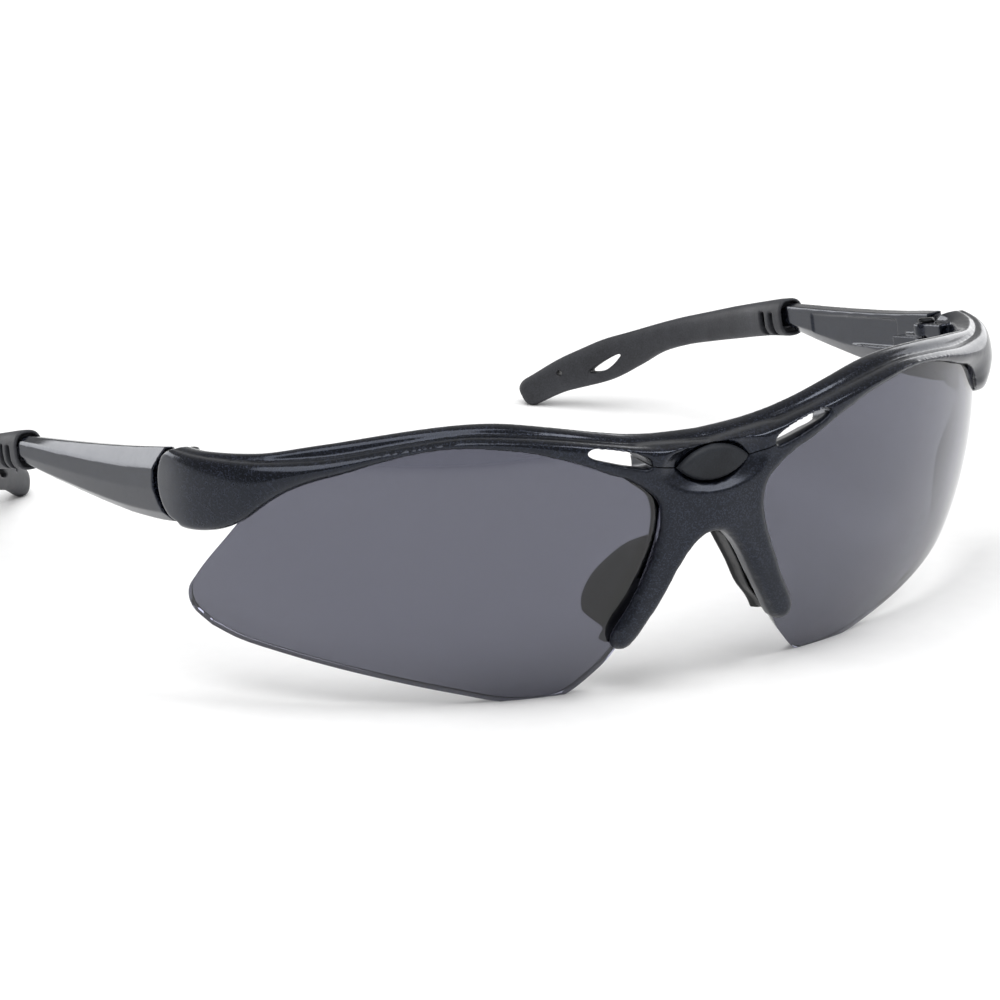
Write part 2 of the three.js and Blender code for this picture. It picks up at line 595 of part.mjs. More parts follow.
function padWing() {
  const along = V(Math.cos(pad.splay), Math.sin(pad.splay), 0);
  const toNose = V(-Math.sin(pad.splay), Math.cos(pad.splay), 0);
  const face = (offset) => pad.stops.map((z) => Array.from({ length: 6 }, (_, j) => {
    const u = (j / 5) * pad.width(z);
    const cup = 0.12 * Math.sin((Math.PI * j) / 5) * pad.width(z) * 0.5;
    const edgeRound = j === 0 || j === 5 ? 0.72 : 1;
    const edge = V(pad.edge(z), pad.near(z), z);
    return edge.addScaledVector(along, u).addScaledVector(toNose, offset * edgeRound - cup);
  }));
  return solid(plate(face(pad.thickness / 2), face(-pad.thickness / 2)));
}

// An upright wall behind the leg, from y = near(z) to y = far
function legWall(low, high, near, far, halfThickness) {
  const inset = flange.inset * Math.cos(pad.splay);
  const heights = Array.from({ length: 7 }, (_, k) => low + ((high - low) * k) / 6);
  const edge = (z, offset) => pad.edge(z) + inset + offset;
  const face = (offset) => heights.map((z) => [near(z), far].map((y) => V(edge(z, offset), y, z)));
  return solid(plate(face(halfThickness), face(-halfThickness)));
}

function bladeBody(grow) {
  const near = (z) => legBack(z) - blade.root - grow;
  return legWall(blade.low - grow, blade.high + grow, near, blade.far + grow, blade.halfThickness + grow);
}

function nosePad() {
  const wallFar = pad.near(15) + flange.inset * Math.sin(pad.splay);
  const wall = legWall(flange.low, flange.high, (z) => legBack(z) + gap, wallFar, flange.halfThickness);
  return fromSolid(padWing().add(wall).subtract(bladeBody(gap)).subtract(solid(lens(30, 9, gap))));
}

// ---------------------------------------------------------------- assembly
const finishes = {
  gloss: { color: 0x17181c, roughness: 0.16, metalness: 0 },
  bridge: { color: 0x1d1e22, roughness: 0.3, metalness: 0 },
  smoke: { color: 0x55565f, roughness: 0.05, metalness: 0, transparent: true, opacity: 0.72 },
  rubber: { color: 0x2a2b2e, roughness: 0.75, metalness: 0 },
  tip: { color: 0x3a3b3e, roughness: 0.7, metalness: 0 },
  steel: { color: 0xb4b6ba, roughness: 0.3, metalness: 1 },
  clip: { color: 0x2c2d31, roughness: 0.5, metalness: 0 },
};

function piece(name, geometry, finish) {
  const mesh = new THREE.Mesh(geometry, new THREE.MeshStandardMaterial(finishes[finish]));
  mesh.name = name;
  return mesh;
}

function makeFront() {
  const both = (body) => body.add(solid(mirrored(fromSolid(body))));
  const lugs = solid(toObject(fromSolid(frameLugs())));
  const endCut = solid(toObject(new THREE.CylinderGeometry(endRadius, endRadius, 30, 48)
    .rotateZ(Math.PI / 2).translate(0, endCentre[0], endCentre[1])));
  const keep = solid(block([-40, -80, -80], [140, hinge[1] + endCentre[0], 120])).add(endCut);
  const keepBoth = solid(block([-60, -80, -80], [60, 60, 120])).add(both(keep.intersect(
    solid(block([60, -90, -90], [150, 160, 150])),
  )));
  const holes = both(solid(toObject(fromSolid(hingeRoom()))));
  const lensRoom = both(solid(lens(30, 9, gap)));
  const whole = barBody().intersect(keepBoth).add(both(lugs)).add(bridgeBody())
    .subtract(ventSlots()).subtract(lensRoom).subtract(holes)
    .subtract(frontDish()).subtract(solid(ovalPrism(0.35, -20, capFloor)));
  const { half, near, far, top } = tongue;
  const stem = solid(block([-half, near, 31], [half, far, top]));
  const stemRoom = solid(block([-half - gap, near - gap, 20], [half + gap, 20, top + gap]));
  const screwRoom = solid(bridgeScrewBody(0.15));
  const above = whole.subtract(underSeam(gap / 2)).subtract(stemRoom).subtract(screwRoom);
  const below = whole.intersect(underSeam(-gap / 2)).add(stem).subtract(screwRoom)
    .subtract(both(bladeBody(0.2)));
  return { above, below };
}

const front = makeFront();
const nutHole = solid(cylinderUp(pinRadius + 0.1, -9, 0));
const glasses = new THREE.Group();
glasses.add(
  piece('brow_bar', fromSolid(front.above), 'gloss'),
  piece('nose_bridge', fromSolid(front.below), 'bridge'),
  piece('bridge_cap', bridgeCap(), 'rubber'),
  piece('bridge_screw', bridgeScrewBody(0), 'steel'),
);

for (const [side, sign] of [['left', 1], ['right', -1]]) {
  const half = new THREE.Group();
  half.scale.x = sign;
  half.add(
    piece(`${side}_lens`, standingLens(), 'smoke'),
    piece(`${side}_nose_pad`, nosePad(), 'rubber'),
    piece(`${side}_pad_blade`, fromSolid(bladeBody(0)), 'clip'),
  );
  const arm = new THREE.Group();
  arm.position.set(...hinge);
  arm.rotation.x = -templeTilt;
  arm.add(
    piece(`${side}_hinge_screw`, hingeScrew(), 'steel'),
    piece(`${side}_hinge_nut`, fromSolid(hingeNut().subtract(nutHole)), 'steel'),
    piece(`${side}_temple`, temple(), 'gloss'),
    piece(`${side}_temple_core`, fromSolid(coreBody(0)), 'steel'),
    piece(`${side}_temple_tip`, templeTip(), 'tip'),
  );
  half.add(arm);
  glasses.add(half);
}

// The origin is under the middle of the standing glasses
const bounds = new THREE.Box3().setFromObject(glasses, true);
glasses.position.y = -(bounds.min.y + bounds.max.y) / 2;

export default glasses;
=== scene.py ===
import json
import math
import bpy
import bmesh
import numpy as np
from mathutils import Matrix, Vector, geometry


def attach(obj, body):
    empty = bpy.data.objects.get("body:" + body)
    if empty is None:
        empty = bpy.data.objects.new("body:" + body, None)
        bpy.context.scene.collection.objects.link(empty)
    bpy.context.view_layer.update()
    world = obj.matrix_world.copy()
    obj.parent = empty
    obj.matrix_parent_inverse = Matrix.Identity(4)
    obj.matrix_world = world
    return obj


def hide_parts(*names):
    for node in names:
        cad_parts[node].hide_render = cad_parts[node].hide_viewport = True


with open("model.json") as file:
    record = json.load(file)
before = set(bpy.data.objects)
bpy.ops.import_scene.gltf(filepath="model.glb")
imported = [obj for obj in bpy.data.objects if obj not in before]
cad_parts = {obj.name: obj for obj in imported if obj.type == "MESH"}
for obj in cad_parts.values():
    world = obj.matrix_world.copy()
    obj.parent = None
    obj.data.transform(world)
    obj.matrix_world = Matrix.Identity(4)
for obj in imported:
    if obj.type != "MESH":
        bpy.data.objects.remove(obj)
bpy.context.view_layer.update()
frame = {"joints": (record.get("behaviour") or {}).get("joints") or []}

scene = bpy.context.scene
mm = 0.001

# Every size below is in millimetres, X = 0 is the mirror plane and the left hinge pin stands at y = 42
hingePin = {"x": 68.6, "y": 42.0, "z": 34.2, "tilt": math.radians(13)}
fold = next(joint for joint in frame["joints"] if joint["name"] == "left_temple_fold")
depthShift = fold["pos_m"][1] / mm - hingePin["y"]


def curveSamples(points, count, closed=False):
    # count + 1 points along a centripetal Catmull-Rom curve, or count where it closes
    p = np.array(points, float)
    n = len(p)
    spans = n if closed else n - 1
    t = np.linspace(0, spans, count + 1)[: count if closed else None]
    k = np.minimum(t.astype(int), spans - 1)
    w = (t - k)[:, None]
    if closed:
        a, b, c, d = (p[(k + step) % n] for step in (-1, 0, 1, 2))
    else:
        padded = np.vstack([2 * p[0] - p[1], p, 2 * p[-1] - p[-2]])
        a, b, c, d = (padded[k + step] for step in (0, 1, 2, 3))
    spacing = [np.sum((q - r) ** 2, axis=1)[:, None] ** 0.25 for q, r in ((b, a), (c, b), (d, c))]
    d0, d1, d2 = [np.maximum(s, 1e-4) for s in spacing]
    m1 = ((b - a) / d0 - (c - a) / (d0 + d1) + (c - b) / d1) * d1
    m2 = ((c - b) / d1 - (d - b) / (d1 + d2) + (d - c) / d2) * d1
    return b + m1 * w + (3 * (c - b) - 2 * m1 - m2) * w**2 + (2 * (b - c) + m1 + m2) * w**3


def through(*stops):
    # A smooth function through given (station, value) stops
    line = curveSamples(stops, 12 * (len(stops) - 1))
    return lambda s: np.interp(s, line[:, 0], line[:, 1])


def smoothStep(value, low, high):
    t = np.clip((value - low) / (high - low), 0, 1)
    return t * t * (3 - 2 * t)


def fromHinge(points):
    # From the hinge's own frame, which leans back with the temple, to the whole object's
    p = np.asarray(points, float)
    c, s = math.cos(hingePin["tilt"]), math.sin(hingePin["tilt"])
    x = p[..., 0] + hingePin["x"]
    y = p[..., 1] * c + p[..., 2] * s + hingePin["y"]
    z = -p[..., 1] * s + p[..., 2] * c + hingePin["z"]
    return np.stack([x, y, z], axis=-1)


def makePiece(name, points, faces, mirror=False):
    p = np.array(points, float).reshape(-1, 3)
    if mirror:
        p[:, 0] *= -1
    p[:, 1] += depthShift
    mesh = bpy.data.meshes.new(name)
    mesh.from_pydata((p * mm).tolist(), [], [list(map(int, face)) for face in faces])
    tidyMesh(mesh)
    piece = bpy.data.objects.new(name, mesh)
    scene.collection.objects.link(piece)
    return piece


def tidyMesh(mesh):
    bm = bmesh.new()
    bm.from_mesh(mesh)
    bmesh.ops.remove_doubles(bm, verts=bm.verts, dist=1e-7)
    bmesh.ops.recalc_face_normals(bm, faces=bm.faces)
    bm.to_mesh(mesh)
    bm.free()


def skin(rings):
    # Points and faces of a closed skin through rings of equal length
    rings = np.asarray(rings, float)
    rows, count = rings.shape[:2]
    hubs = np.array([rings[0].mean(0), rings[-1].mean(0)])
    points = np.vstack([rings.reshape(-1, 3), hubs])
    j = np.arange(count)
    after = (j + 1) % count
    faces = []
    for i in range(rows - 1):
        base = i * count
        faces += list(zip(base + j, base + after, base + count + after, base + count + j))
    first, last = rows * count, rows * count + 1
    faces += list(zip([first] * count, after, j))
    faces += list(zip([last] * count, (rows - 1) * count + j, (rows - 1) * count + after))
    return points, faces


def plate(front, back):
    # Points and faces of a closed plate between two grids of points
    front, back = np.asarray(front, float), np.asarray(back, float)
    rows, columns = front.shape[:2]
    at = np.arange(2 * rows * columns).reshape(2, rows, columns)
    faces = []
    for side in (0, 1):
        a, b, c, d = at[side, :-1, :-1], at[side, 1:, :-1], at[side, 1:, 1:], at[side, :-1, 1:]
        faces += np.stack([a, b, c, d], axis=-1).reshape(-1, 4)[:, :: 1 - 2 * side].tolist()
    rim = np.concatenate([at[:, :-1, 0], at[:, -1, :-1], at[:, :0:-1, -1], at[:, 0, :0:-1]], axis=1)
    faces += np.stack([rim[0], rim[1], np.roll(rim[1], -1), np.roll(rim[0], -1)], axis=-1).tolist()
    return np.vstack([front.reshape(-1, 3), back.reshape(-1, 3)]), faces


def prismAcross(outline, near, far):
    # A front-view outline (x, z) run back from y = near to y = far
    ring = np.array(outline, float)
    rings = [np.column_stack([ring[:, 0], np.full(len(ring), y), ring[:, 1]]) for y in (near, far)]
    return skin(rings)


def turned(profile, sides=48):
    # A lathed body round the Z axis from a profile of (radius, z) that starts and ends on it
    rings = []
    for turn in np.linspace(0, 2 * math.pi, sides, endpoint=False):
        rings.append([(r * math.cos(turn), r * math.sin(turn), z) for r, z in profile])
    rings = np.array(rings)
    count = len(profile)
    faces = []
    for i in range(sides):
        a, b = i * count, ((i + 1) % sides) * count
        for j in range(count - 1):
            faces.append((a + j, b + j, b + j + 1, a + j + 1))
    return rings.reshape(-1, 3), faces


def cylinderUp(radius, low, high, sides=64):
    return turned([(0, low), (radius, low), (radius, high), (0, high)], sides)


def block(low, high):
    x, y, z = zip(low, high)
    corners = [(x[i], y[j], z[k]) for k in (0, 1) for i, j in ((0, 0), (1, 0), (1, 1), (0, 1))]
    faces = [(3, 2, 1, 0), (4, 5, 6, 7), (0, 1, 5, 4), (1, 2, 6, 5), (2, 3, 7, 6), (3, 0, 4, 7)]
    return np.array(corners, float), faces


def evaluated(piece):
    # The piece's mesh with its modifiers worked in
    bpy.context.view_layer.update()
    graph = bpy.context.evaluated_depsgraph_get()
    made = bpy.data.meshes.new_from_object(piece.evaluated_get(graph), depsgraph=graph)
    piece.modifiers.clear()
    piece.data = made
    made.name = piece.name
    return piece


def combine(piece, tools, operation):
    # Cuts or joins whole bodies, given as (points, faces), and their mirror images where asked
    helpers = []
    for number, (shape, both) in enumerate(tools):
        for mirror in (False, True) if both else (False,):
            helper = makePiece(f"tool{number}", *shape, mirror=mirror)
            helpers.append(helper)
            modifier = piece.modifiers.new("cut", "BOOLEAN")
            modifier.operation = operation
            modifier.solver = "MANIFOLD"
            modifier.object = helper
            evaluated(piece)
    for helper in helpers:
        bpy.data.objects.remove(helper)
    return piece


def melt(piece, voxel, passes):
    # One even skin over joined and cut bodies, with every edge slightly rounded
    remesh = piece.modifiers.new("melt", "REMESH")
    remesh.mode = "VOXEL"
    remesh.voxel_size = voxel * mm
    soften = piece.modifiers.new("soften", "SMOOTH")
    soften.factor = 0.5
    soften.iterations = passes
    evaluated(piece)
    tidyMesh(piece.data)
    piece.data.shade_smooth()
    return piece


def rounded(piece, width, segments=3, angle=35):
    # Small rounds on the edges sharper than the angle, then smooth shading
    bevel = piece.modifiers.new("round", "BEVEL")
    bevel.width = width * mm
    bevel.segments = segments
    bevel.limit_method = "ANGLE"
    bevel.angle_limit = math.radians(angle)
    bevel.harden_normals = False
    evaluated(piece)
    return smoothShaded(piece, angle)


def smoothShaded(piece, angle=35):
    piece.data.shade_smooth()
    piece.data.set_sharp_from_angle(angle=math.radians(angle))
    return piece


class Value:
    # A node socket that adds Math nodes when it is used in an expression
    def __init__(self, maker, socket):
        self.maker, self.socket = maker, socket

    def math(self, operation, other, swap=False):
        pair = [other, self] if swap else [self, other]
        return self.maker.node("ShaderNodeMath", {"operation": operation}, {0: pair[0], 1: pair[1]})

    def __add__(self, other): return self.math("ADD", other)
    def __radd__(self, other): return self.math("ADD", other, True)
    def __sub__(self, other): return self.math("SUBTRACT", other)
    def __rsub__(self, other): return self.math("SUBTRACT", other, True)
    def __mul__(self, other): return self.math("MULTIPLY", other)
    def __rmul__(self, other): return self.math("MULTIPLY", other, True)


class Finish:
    # A material under construction
    def __init__(self, name, **shaderValues):
        self.material = bpy.data.materials.new(name)
        self.material.use_nodes = True
        self.tree = self.material.node_tree
        self.shader = self.tree.nodes["Principled BSDF"]
        for socket, value in shaderValues.items():
            self.shader.inputs[socket.replace("_", " ")].default_value = value

    def node(self, kind, settings=None, inputs=None, output=0):
        made = self.tree.nodes.new(kind)
        for key, value in (settings or {}).items():
            setattr(made, key, value)
        for key, value in (inputs or {}).items():
            self.feed(made.inputs[key], value)
        return Value(self, made.outputs[output])

    def feed(self, socket, value):
        if isinstance(value, Value):
            self.tree.links.new(value.socket, socket)
        else:
            socket.default_value = value

    def set(self, socket, value):
        self.feed(self.shader.inputs[socket], value)

    def place(self):
        return self.node("ShaderNodeTexCoord", output="Object")

    def noise(self, scale, detail=2.0, roughness=0.5, where=None):
        return self.node("ShaderNodeTexNoise", {}, {
            "Vector": where or self.place(), "Scale": scale, "Detail": detail, "Roughness": roughness})

    def cells(self, scale, output="Color"):
        return self.node("ShaderNodeTexVoronoi", {"feature": "F1"}, {"Vector": self.place(), "Scale": scale},
                         output=output)

    def spread(self, value, low, high, newLow=0.0, newHigh=1.0):
        return self.node("ShaderNodeMapRange", {}, {
            "Value": value, "From Min": low, "From Max": high, "To Min": newLow, "To Max": newHigh})

    def mix(self, factor, first, second):
        four = [(*c, 1) if isinstance(c, tuple) and len(c) == 3 else c for c in (first, second)]
        inputs = {0: factor, 6: four[0], 7: four[1]}
        return self.node("ShaderNodeMix", {"data_type": "RGBA"}, inputs, output=2)

    def bump(self, height, strength, distance):
        return self.node("ShaderNodeBump", {}, {
            "Height": height, "Strength": strength, "Distance": distance * mm})


def glossPlastic(name, dark, flake, roughness, flakeShare):
    # Moulded black plastic with a very fine pearl, under its own gloss
    finish = Finish(name, IOR=1.42, Specular_Tint=(0.74, 0.81, 1, 1), Coat_Roughness=0.06, Coat_IOR=1.4)
    flakes = finish.node("ShaderNodeSeparateColor", {}, {0: finish.cells(5200)}, output=0)
    sparkle = finish.spread(flakes, 1 - flakeShare, 1.0)
    cloud = finish.spread(finish.noise(160, 3), 0.35, 0.65)
    shade = finish.mix(sparkle * (0.55 + 0.45 * cloud), dark, flake)
    finish.set("Base Color", shade)
    wear = finish.spread(finish.noise(420, 4, 0.6), 0.4, 0.75)
    finish.set("Roughness", roughness + 0.05 * wear + 0.05 * sparkle)
    finish.set("Coat Weight", 0.1 - 0.05 * wear)
    orange = finish.noise(900, 2)
    finish.set("Normal", finish.bump(orange + 0.25 * flakes, 0.06, 0.05))
    return finish.material


def rubber(name, dark, pale, roughness, grain):
    # Matte rubber with a fine moulded grain and paler rubbed patches
    finish = Finish(name, IOR=1.5, Specular_IOR_Level=0.4)
    patch = finish.spread(finish.noise(90, 5, 0.65), 0.35, 0.7)
    speck = finish.spread(finish.noise(3800, 2, 0.7), 0.35, 0.7)
    finish.set("Base Color", finish.mix(patch * 0.5 + speck * 0.5, dark, pale))
    finish.set("Roughness", roughness - 0.12 * patch + 0.06 * speck)
    pits = finish.cells(2600, output="Distance")
    finish.set("Normal", finish.bump(pits + 0.5 * speck, grain, 0.06))
    return finish.material


def smokeLens(name, tint):
    # Polished tinted lens with the faintest haze of handling
    finish = Finish(name, IOR=1.49, Transmission_Weight=1.0)
    haze = finish.spread(finish.noise(60, 4), 0.45, 0.75)
    finish.set("Base Color", finish.mix(haze * 0.3, tint, tuple(c * 1.03 for c in tint)))
    finish.set("Roughness", 0.006 + 0.012 * haze)
    return finish.material


def turnedSteel(name):
    # Blackened screws and nuts, ringed by the lathe
    finish = Finish(name, Metallic=1.0, IOR=2.5)
    rings = finish.noise(2400, 2, where=finish.node("ShaderNodeVectorMath", {"operation": "MULTIPLY"}, {
        0: finish.place(), 1: (0.15, 0.15, 1.0)}))
    worn = finish.spread(rings, 0.3, 0.7)
    finish.set("Base Color", finish.mix(worn, (0.012, 0.0125, 0.014), (0.03, 0.031, 0.034)))
    finish.set("Roughness", finish.spread(rings, 0.3, 0.7, 0.24, 0.4))
    finish.set("Normal", finish.bump(rings, 0.1, 0.02))
    return finish.material


materials = {
    "frame": glossPlastic("framePearl", (0.001, 0.0012, 0.002), (0.02, 0.024, 0.038), 0.15, 0.42),
    "bridge": glossPlastic("bridgeSatin", (0.0012, 0.0014, 0.0024), (0.02, 0.024, 0.037), 0.28, 0.5),
    "cap": rubber("capRubber", (0.0045, 0.0055, 0.008), (0.016, 0.02, 0.028), 0.66, 0.25),
    "pad": rubber("padRubber", (0.0012, 0.0013, 0.0018), (0.004, 0.0043, 0.006), 0.5, 0.05),
    "tip": rubber("tipRubber", (0.014, 0.0147, 0.0175), (0.045, 0.047, 0.056), 0.6, 0.3),
    "clip": rubber("clipPlastic", (0.006, 0.0063, 0.0075), (0.014, 0.015, 0.018), 0.4, 0.08),
    "lens": smokeLens("smokeLens", (0.098, 0.1, 0.13)),
    "steel": turnedSteel("turnedSteel"),
}
print("materials ready")


class NodeTree:
    # A Geometry Nodes tree in the making, whose named inputs hold its sizes
    def __init__(self, name, sizes):
        self.tree = bpy.data.node_groups.new(name, "GeometryNodeTree")
        self.tree.interface.new_socket("Geometry", in_out="OUTPUT", socket_type="NodeSocketGeometry")
        self.sizes, self.keys = sizes, {}
        for label, value in sizes.items():
            kind = "Vector" if isinstance(value, tuple) else "Int" if isinstance(value, int) else "Float"
            self.keys[label] = self.tree.interface.new_socket(label, in_out="INPUT",
                                                              socket_type="NodeSocket" + kind).identifier
        self.entry = self.tree.nodes.new("NodeGroupInput")

    def size(self, label):
        return self.entry.outputs[label]

    def node(self, kind, settings=None, inputs=None, output=0):
        made = self.tree.nodes.new(kind)
        for key, value in (settings or {}).items():
            setattr(made, key, value)
        for key, value in (inputs or {}).items():
            if isinstance(value, bpy.types.NodeSocket):
                self.tree.links.new(value, made.inputs[key])
            else:
                made.inputs[key].default_value = value
        return made.outputs[output]

    # Real faces with the material on them, as one plain mesh
    def grown(self, name, geometry, finish):
        real = self.node("GeometryNodeRealizeInstances", {}, {"Geometry": geometry})
        coated = self.node("GeometryNodeSetMaterial", {}, {"Geometry": real, "Material": materials[finish]})
        self.tree.links.new(coated, self.tree.nodes.new("NodeGroupOutput").inputs[0])
        piece = bpy.data.objects.new(name, bpy.data.meshes.new(name))
        scene.collection.objects.link(piece)
        modifier = piece.modifiers.new("nodes", "NODES")
        modifier.node_group = self.tree
        for label, value in self.sizes.items():
            modifier[self.keys[label]] = value
        return evaluated(piece)


def repeated(nodes, shape, turn=(0.0, 0.0, 0.0)):
    # The shape at every stop of a straight row
    row = nodes.node("GeometryNodeMeshLine", {"mode": "OFFSET"}, {
        "Count": nodes.size("Count"), "Start Location": nodes.size("Start"), "Offset": nodes.size("Step")})
    return nodes.node("GeometryNodeInstanceOnPoints", {}, {"Points": row, "Instance": shape, "Rotation": turn})


def settle(piece, node, body, finish):
    # Gives a finished piece its material, its CAD body and the node that it stands for
    piece.data.materials.clear()
    piece.data.materials.append(materials[finish])
    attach(piece, body)
    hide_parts(*([node] if isinstance(node, str) else node))
    return piece


lensShape = {
    "centre": (14, 66, 31.2), "radius": 66.1, "thickness": 2.2, "columns": 150, "rows": 60,
    "bottom": [(18.6, 2.4), (20.4, 0.7), (22.6, -0.5), (29, -0.5), (33, 0.3), (38, 1.8), (44, 3.5), (50, 5.2),
               (56, 6.9), (62, 8.7), (66.5, 10.2), (69.3, 11.9)],
    "outer": [(69.3, 11.9), (71.3, 14.4), (72.1, 17.6), (71.7, 20.6), (70.8, 24), (69.3, 28), (68, 31),
              (66.8, 33.2)],
    "top": [(8.4, 31), (10.2, 33.4), (12.7, 35.7), (15.6, 37), (18.3, 38.4), (21.8, 39.8), (26.3, 41.8),
            (31, 43.3), (35, 44), (41, 44.4), (46.5, 43.9), (52, 42.4), (57, 40.9), (60.5, 39.7), (63, 38.2),
            (65.2, 36), (66.8, 33.2)],
    "inner": [(18.6, 2.4), (15.8, 5.6), (13.9, 9), (12.6, 14), (11.2, 19), (9.8, 23.5), (8.9, 27), (8.4, 31)],
    "edgeRound": 0.35,
}


def lensOutlineGrid(columns, rows, grow):
    # A Coons patch in front view between the lens's four edges, widened all round
    bottom, top = (curveSamples(lensShape[k], columns)[:, None] for k in ("bottom", "top"))
    inner, outer = (curveSamples(lensShape[k], rows)[None] for k in ("inner", "outer"))
    u = np.linspace(0, 1, columns + 1)[:, None, None]
    v = np.linspace(0, 1, rows + 1)[None, :, None]
    grid = bottom * (1 - v) + top * v + inner * (1 - u) + outer * u
    for corner, weight in ((bottom[0], (1 - u) * (1 - v)), (bottom[-1], u * (1 - v)),
                           (top[0], (1 - u) * v), (top[-1], u * v)):
        grid = grid - corner * weight
    away = grid - np.array([40, 22])
    return grid + away / np.linalg.norm(away, axis=2, keepdims=True) * grow


def onSphere(grid, depth):
    # Points of a front-view grid on the lens's sphere, moved towards its centre by depth
    cx, cy, cz = lensShape["centre"]
    radius = lensShape["radius"]
    x, z = grid[..., 0], grid[..., 1]
    y = cy - np.sqrt(radius**2 - (x - cx) ** 2 - (z - cz) ** 2)
    centre = np.array([cx, cy, cz])
    return centre + (np.stack([x, y, z], axis=-1) - centre) * (radius - depth) / radius


def lensBody(columns, rows, grow):
    grid = lensOutlineGrid(columns, rows, grow)
    return plate(onSphere(grid, -grow), onSphere(grid, lensShape["thickness"] + grow))


def makeLens(side, mirror):
    lens = makePiece(side + "SmokeLens", *lensBody(lensShape["columns"], lensShape["rows"], 0), mirror=mirror)
    combine(lens, [(block((-200, -200, -60), (200, 200, 0)), False)], "DIFFERENCE")
    rounded(lens, lensShape["edgeRound"], 3, 50)
    settle(lens, side + "_lens", "front", "lens")


frameShape = {
    "rimLip": 1.3, "noseBulge": 1.1, "legLead": 1.4, "gap": 0.3, "endRadius": 5.9, "endCentre": (-4.7, -0.5),
    "endGap": 2, "seamRise": 37.3, "capHalf": (6.6, 2.9), "dishHalf": (10.4, 4.6), "dishDepth": 1.2,
    "screwRise": 38.9, "lugRadius": 2.2, "lugReach": 3.8, "knuckleReach": 1.4, "pinRadius": 0.75,
    "seamGap": 0.2, "voxel": 0.26, "passes": 9,
}
gap = frameShape["gap"]

barShape = {
    "low": through((0, 36), (10, 36), (14, 36.6), (18.3, 38), (21.8, 39.6), (26.3, 41.3), (31, 42.7), (35, 43.4),
                   (41, 44), (46.5, 43.5), (52, 42), (57, 40), (61, 38.3), (64, 36.4), (66.3, 34), (68, 31.4),
                   (70, 29.2), (72, 28.2), (74, 28)),
    "shoulder": through((0, 40.4), (10, 40.9), (18.3, 42.4), (27, 44), (35, 45), (41, 45.2), (49.7, 44),
                        (60, 41.8), (68, 40.6), (74, 39.8)),
    "crest": through((0, 41.4), (10, 41.8), (18.3, 43.3), (27, 45), (35, 46.2), (41, 46.3), (49.7, 45.4),
                     (60, 43.4), (68, 41.3), (74, 40)),
    "crestDepth": through((0, 6.6), (10, 6.4), (18.3, 5.9), (35, 5.4), (49.7, 4.6), (60, 3.6), (68, 2.4),
                          (74, 1.8)),
    "bulge": through((0, 0.1), (50, 0.3), (57, 0.8), (63, 1.5), (68, 1.8), (72, 1), (74, 0.3)),
    "depth": through((0, 7.6), (10, 7.4), (18.3, 7), (35, 6.9), (49.7, 6.4), (60, 5.6), (68, 4.8), (74, 4.4)),
    "turn": [(66, 66, 23.4), (68.5, 69, 27.2), (70.5, 71.6, 31.4), (72, 73.2, 35.2), (73.2, 74, 39.6),
             (74, 74.2, 45.5)],
    "stations": 260, "around": 120,
}


def frontAt(x, z):
    # y of the frame's front: a sphere over each lens, joined by a straight run over the nose
    x, z = np.asarray(x, float), np.asarray(z, float)
    cx, cy, cz = lensShape["centre"]
    side = np.maximum(np.abs(x) - cx, 0)
    reach = (lensShape["radius"] + frameShape["rimLip"]) ** 2 - side**2 - (z - cz) ** 2
    bulge = frameShape["noseBulge"] * np.exp(-((x / 9) ** 2))
    leg = frameShape["legLead"] * smoothStep(28 - z, 0, 20) * (1 - smoothStep(np.abs(x), 17, 24))
    return cy - np.sqrt(reach) - bulge - leg


def barBody():
    # The brow bar swept along its plan, from one rounded end to the other
    low = barShape["low"]
    plan = [(s, s, float(frontAt(s, low(s) + 2))) for s in [*range(0, 25, 4), *np.arange(27.5, 62.1, 3.5)]]
    plan += barShape["turn"]
    xAt, yAt = through(*[(s, x) for s, x, _ in plan]), through(*[(s, y) for s, _, y in plan])
    rings = []
    for s in np.linspace(0, 74, barShape["stations"]):
        step = 0.4
        before, after = max(s - step, -step if s < step else 0), min(s + step, 74)
        xBefore = xAt(abs(before)) * (1 if before >= 0 else -1)
        slope = np.array([xAt(after) - xBefore, yAt(after) - yAt(abs(before))])
        back = np.array([-slope[1], slope[0]]) / np.linalg.norm(slope)
        if s == 0:
            back = np.array([0.0, 1.0])
        base, shoulder, crest = (float(barShape[k](s)) for k in ("low", "shoulder", "crest"))
        crestDepth, depth, bulge = (float(barShape[k](s)) for k in ("crestDepth", "depth", "bulge"))
        rise = crest - shoulder
        section = [(0.5, base - 0.1), (-0.4 * bulge, base + 0.6), (-bulge, (base + shoulder) / 2 + 0.4),
                   (0.2 - 0.6 * bulge, shoulder - 0.3), (crestDepth * 0.2, shoulder + 0.15),
                   (crestDepth * 0.6, shoulder + rise * 0.15), (crestDepth * 0.68, shoulder + rise * 0.75),
                   (crestDepth, crest + 0.1), (depth - 0.4, crest - 0.5), (depth, crest - 1.8),
                   (depth - 0.3, base + 0.9), (depth - 1.3, base), (depth / 2, base - 0.2)]
        line = curveSamples(section, barShape["around"], closed=True)
        rings.append([(xAt(s) + back[0] * d, yAt(s) + back[1] * d, z) for d, z in line])
    half = np.array(rings, float)
    other = half[:0:-1] * np.array([-1, 1, 1])
    return skin(np.concatenate([other, half]))


def acrossHinge(shape):
    # A body built round the X axis of the hinge's own frame, moved to the object's frame
    points, faces = shape
    return fromHinge(points), faces


def roundAcross(radius):
    # A long cylinder along X at the centre of the brow bar's rounded end, in the hinge's frame
    points, faces = cylinderUp(radius, -15, 15, 160)
    along, up = frameShape["endCentre"]
    return np.stack([points[:, 2], points[:, 0] + along, points[:, 1] + up], axis=-1), faces


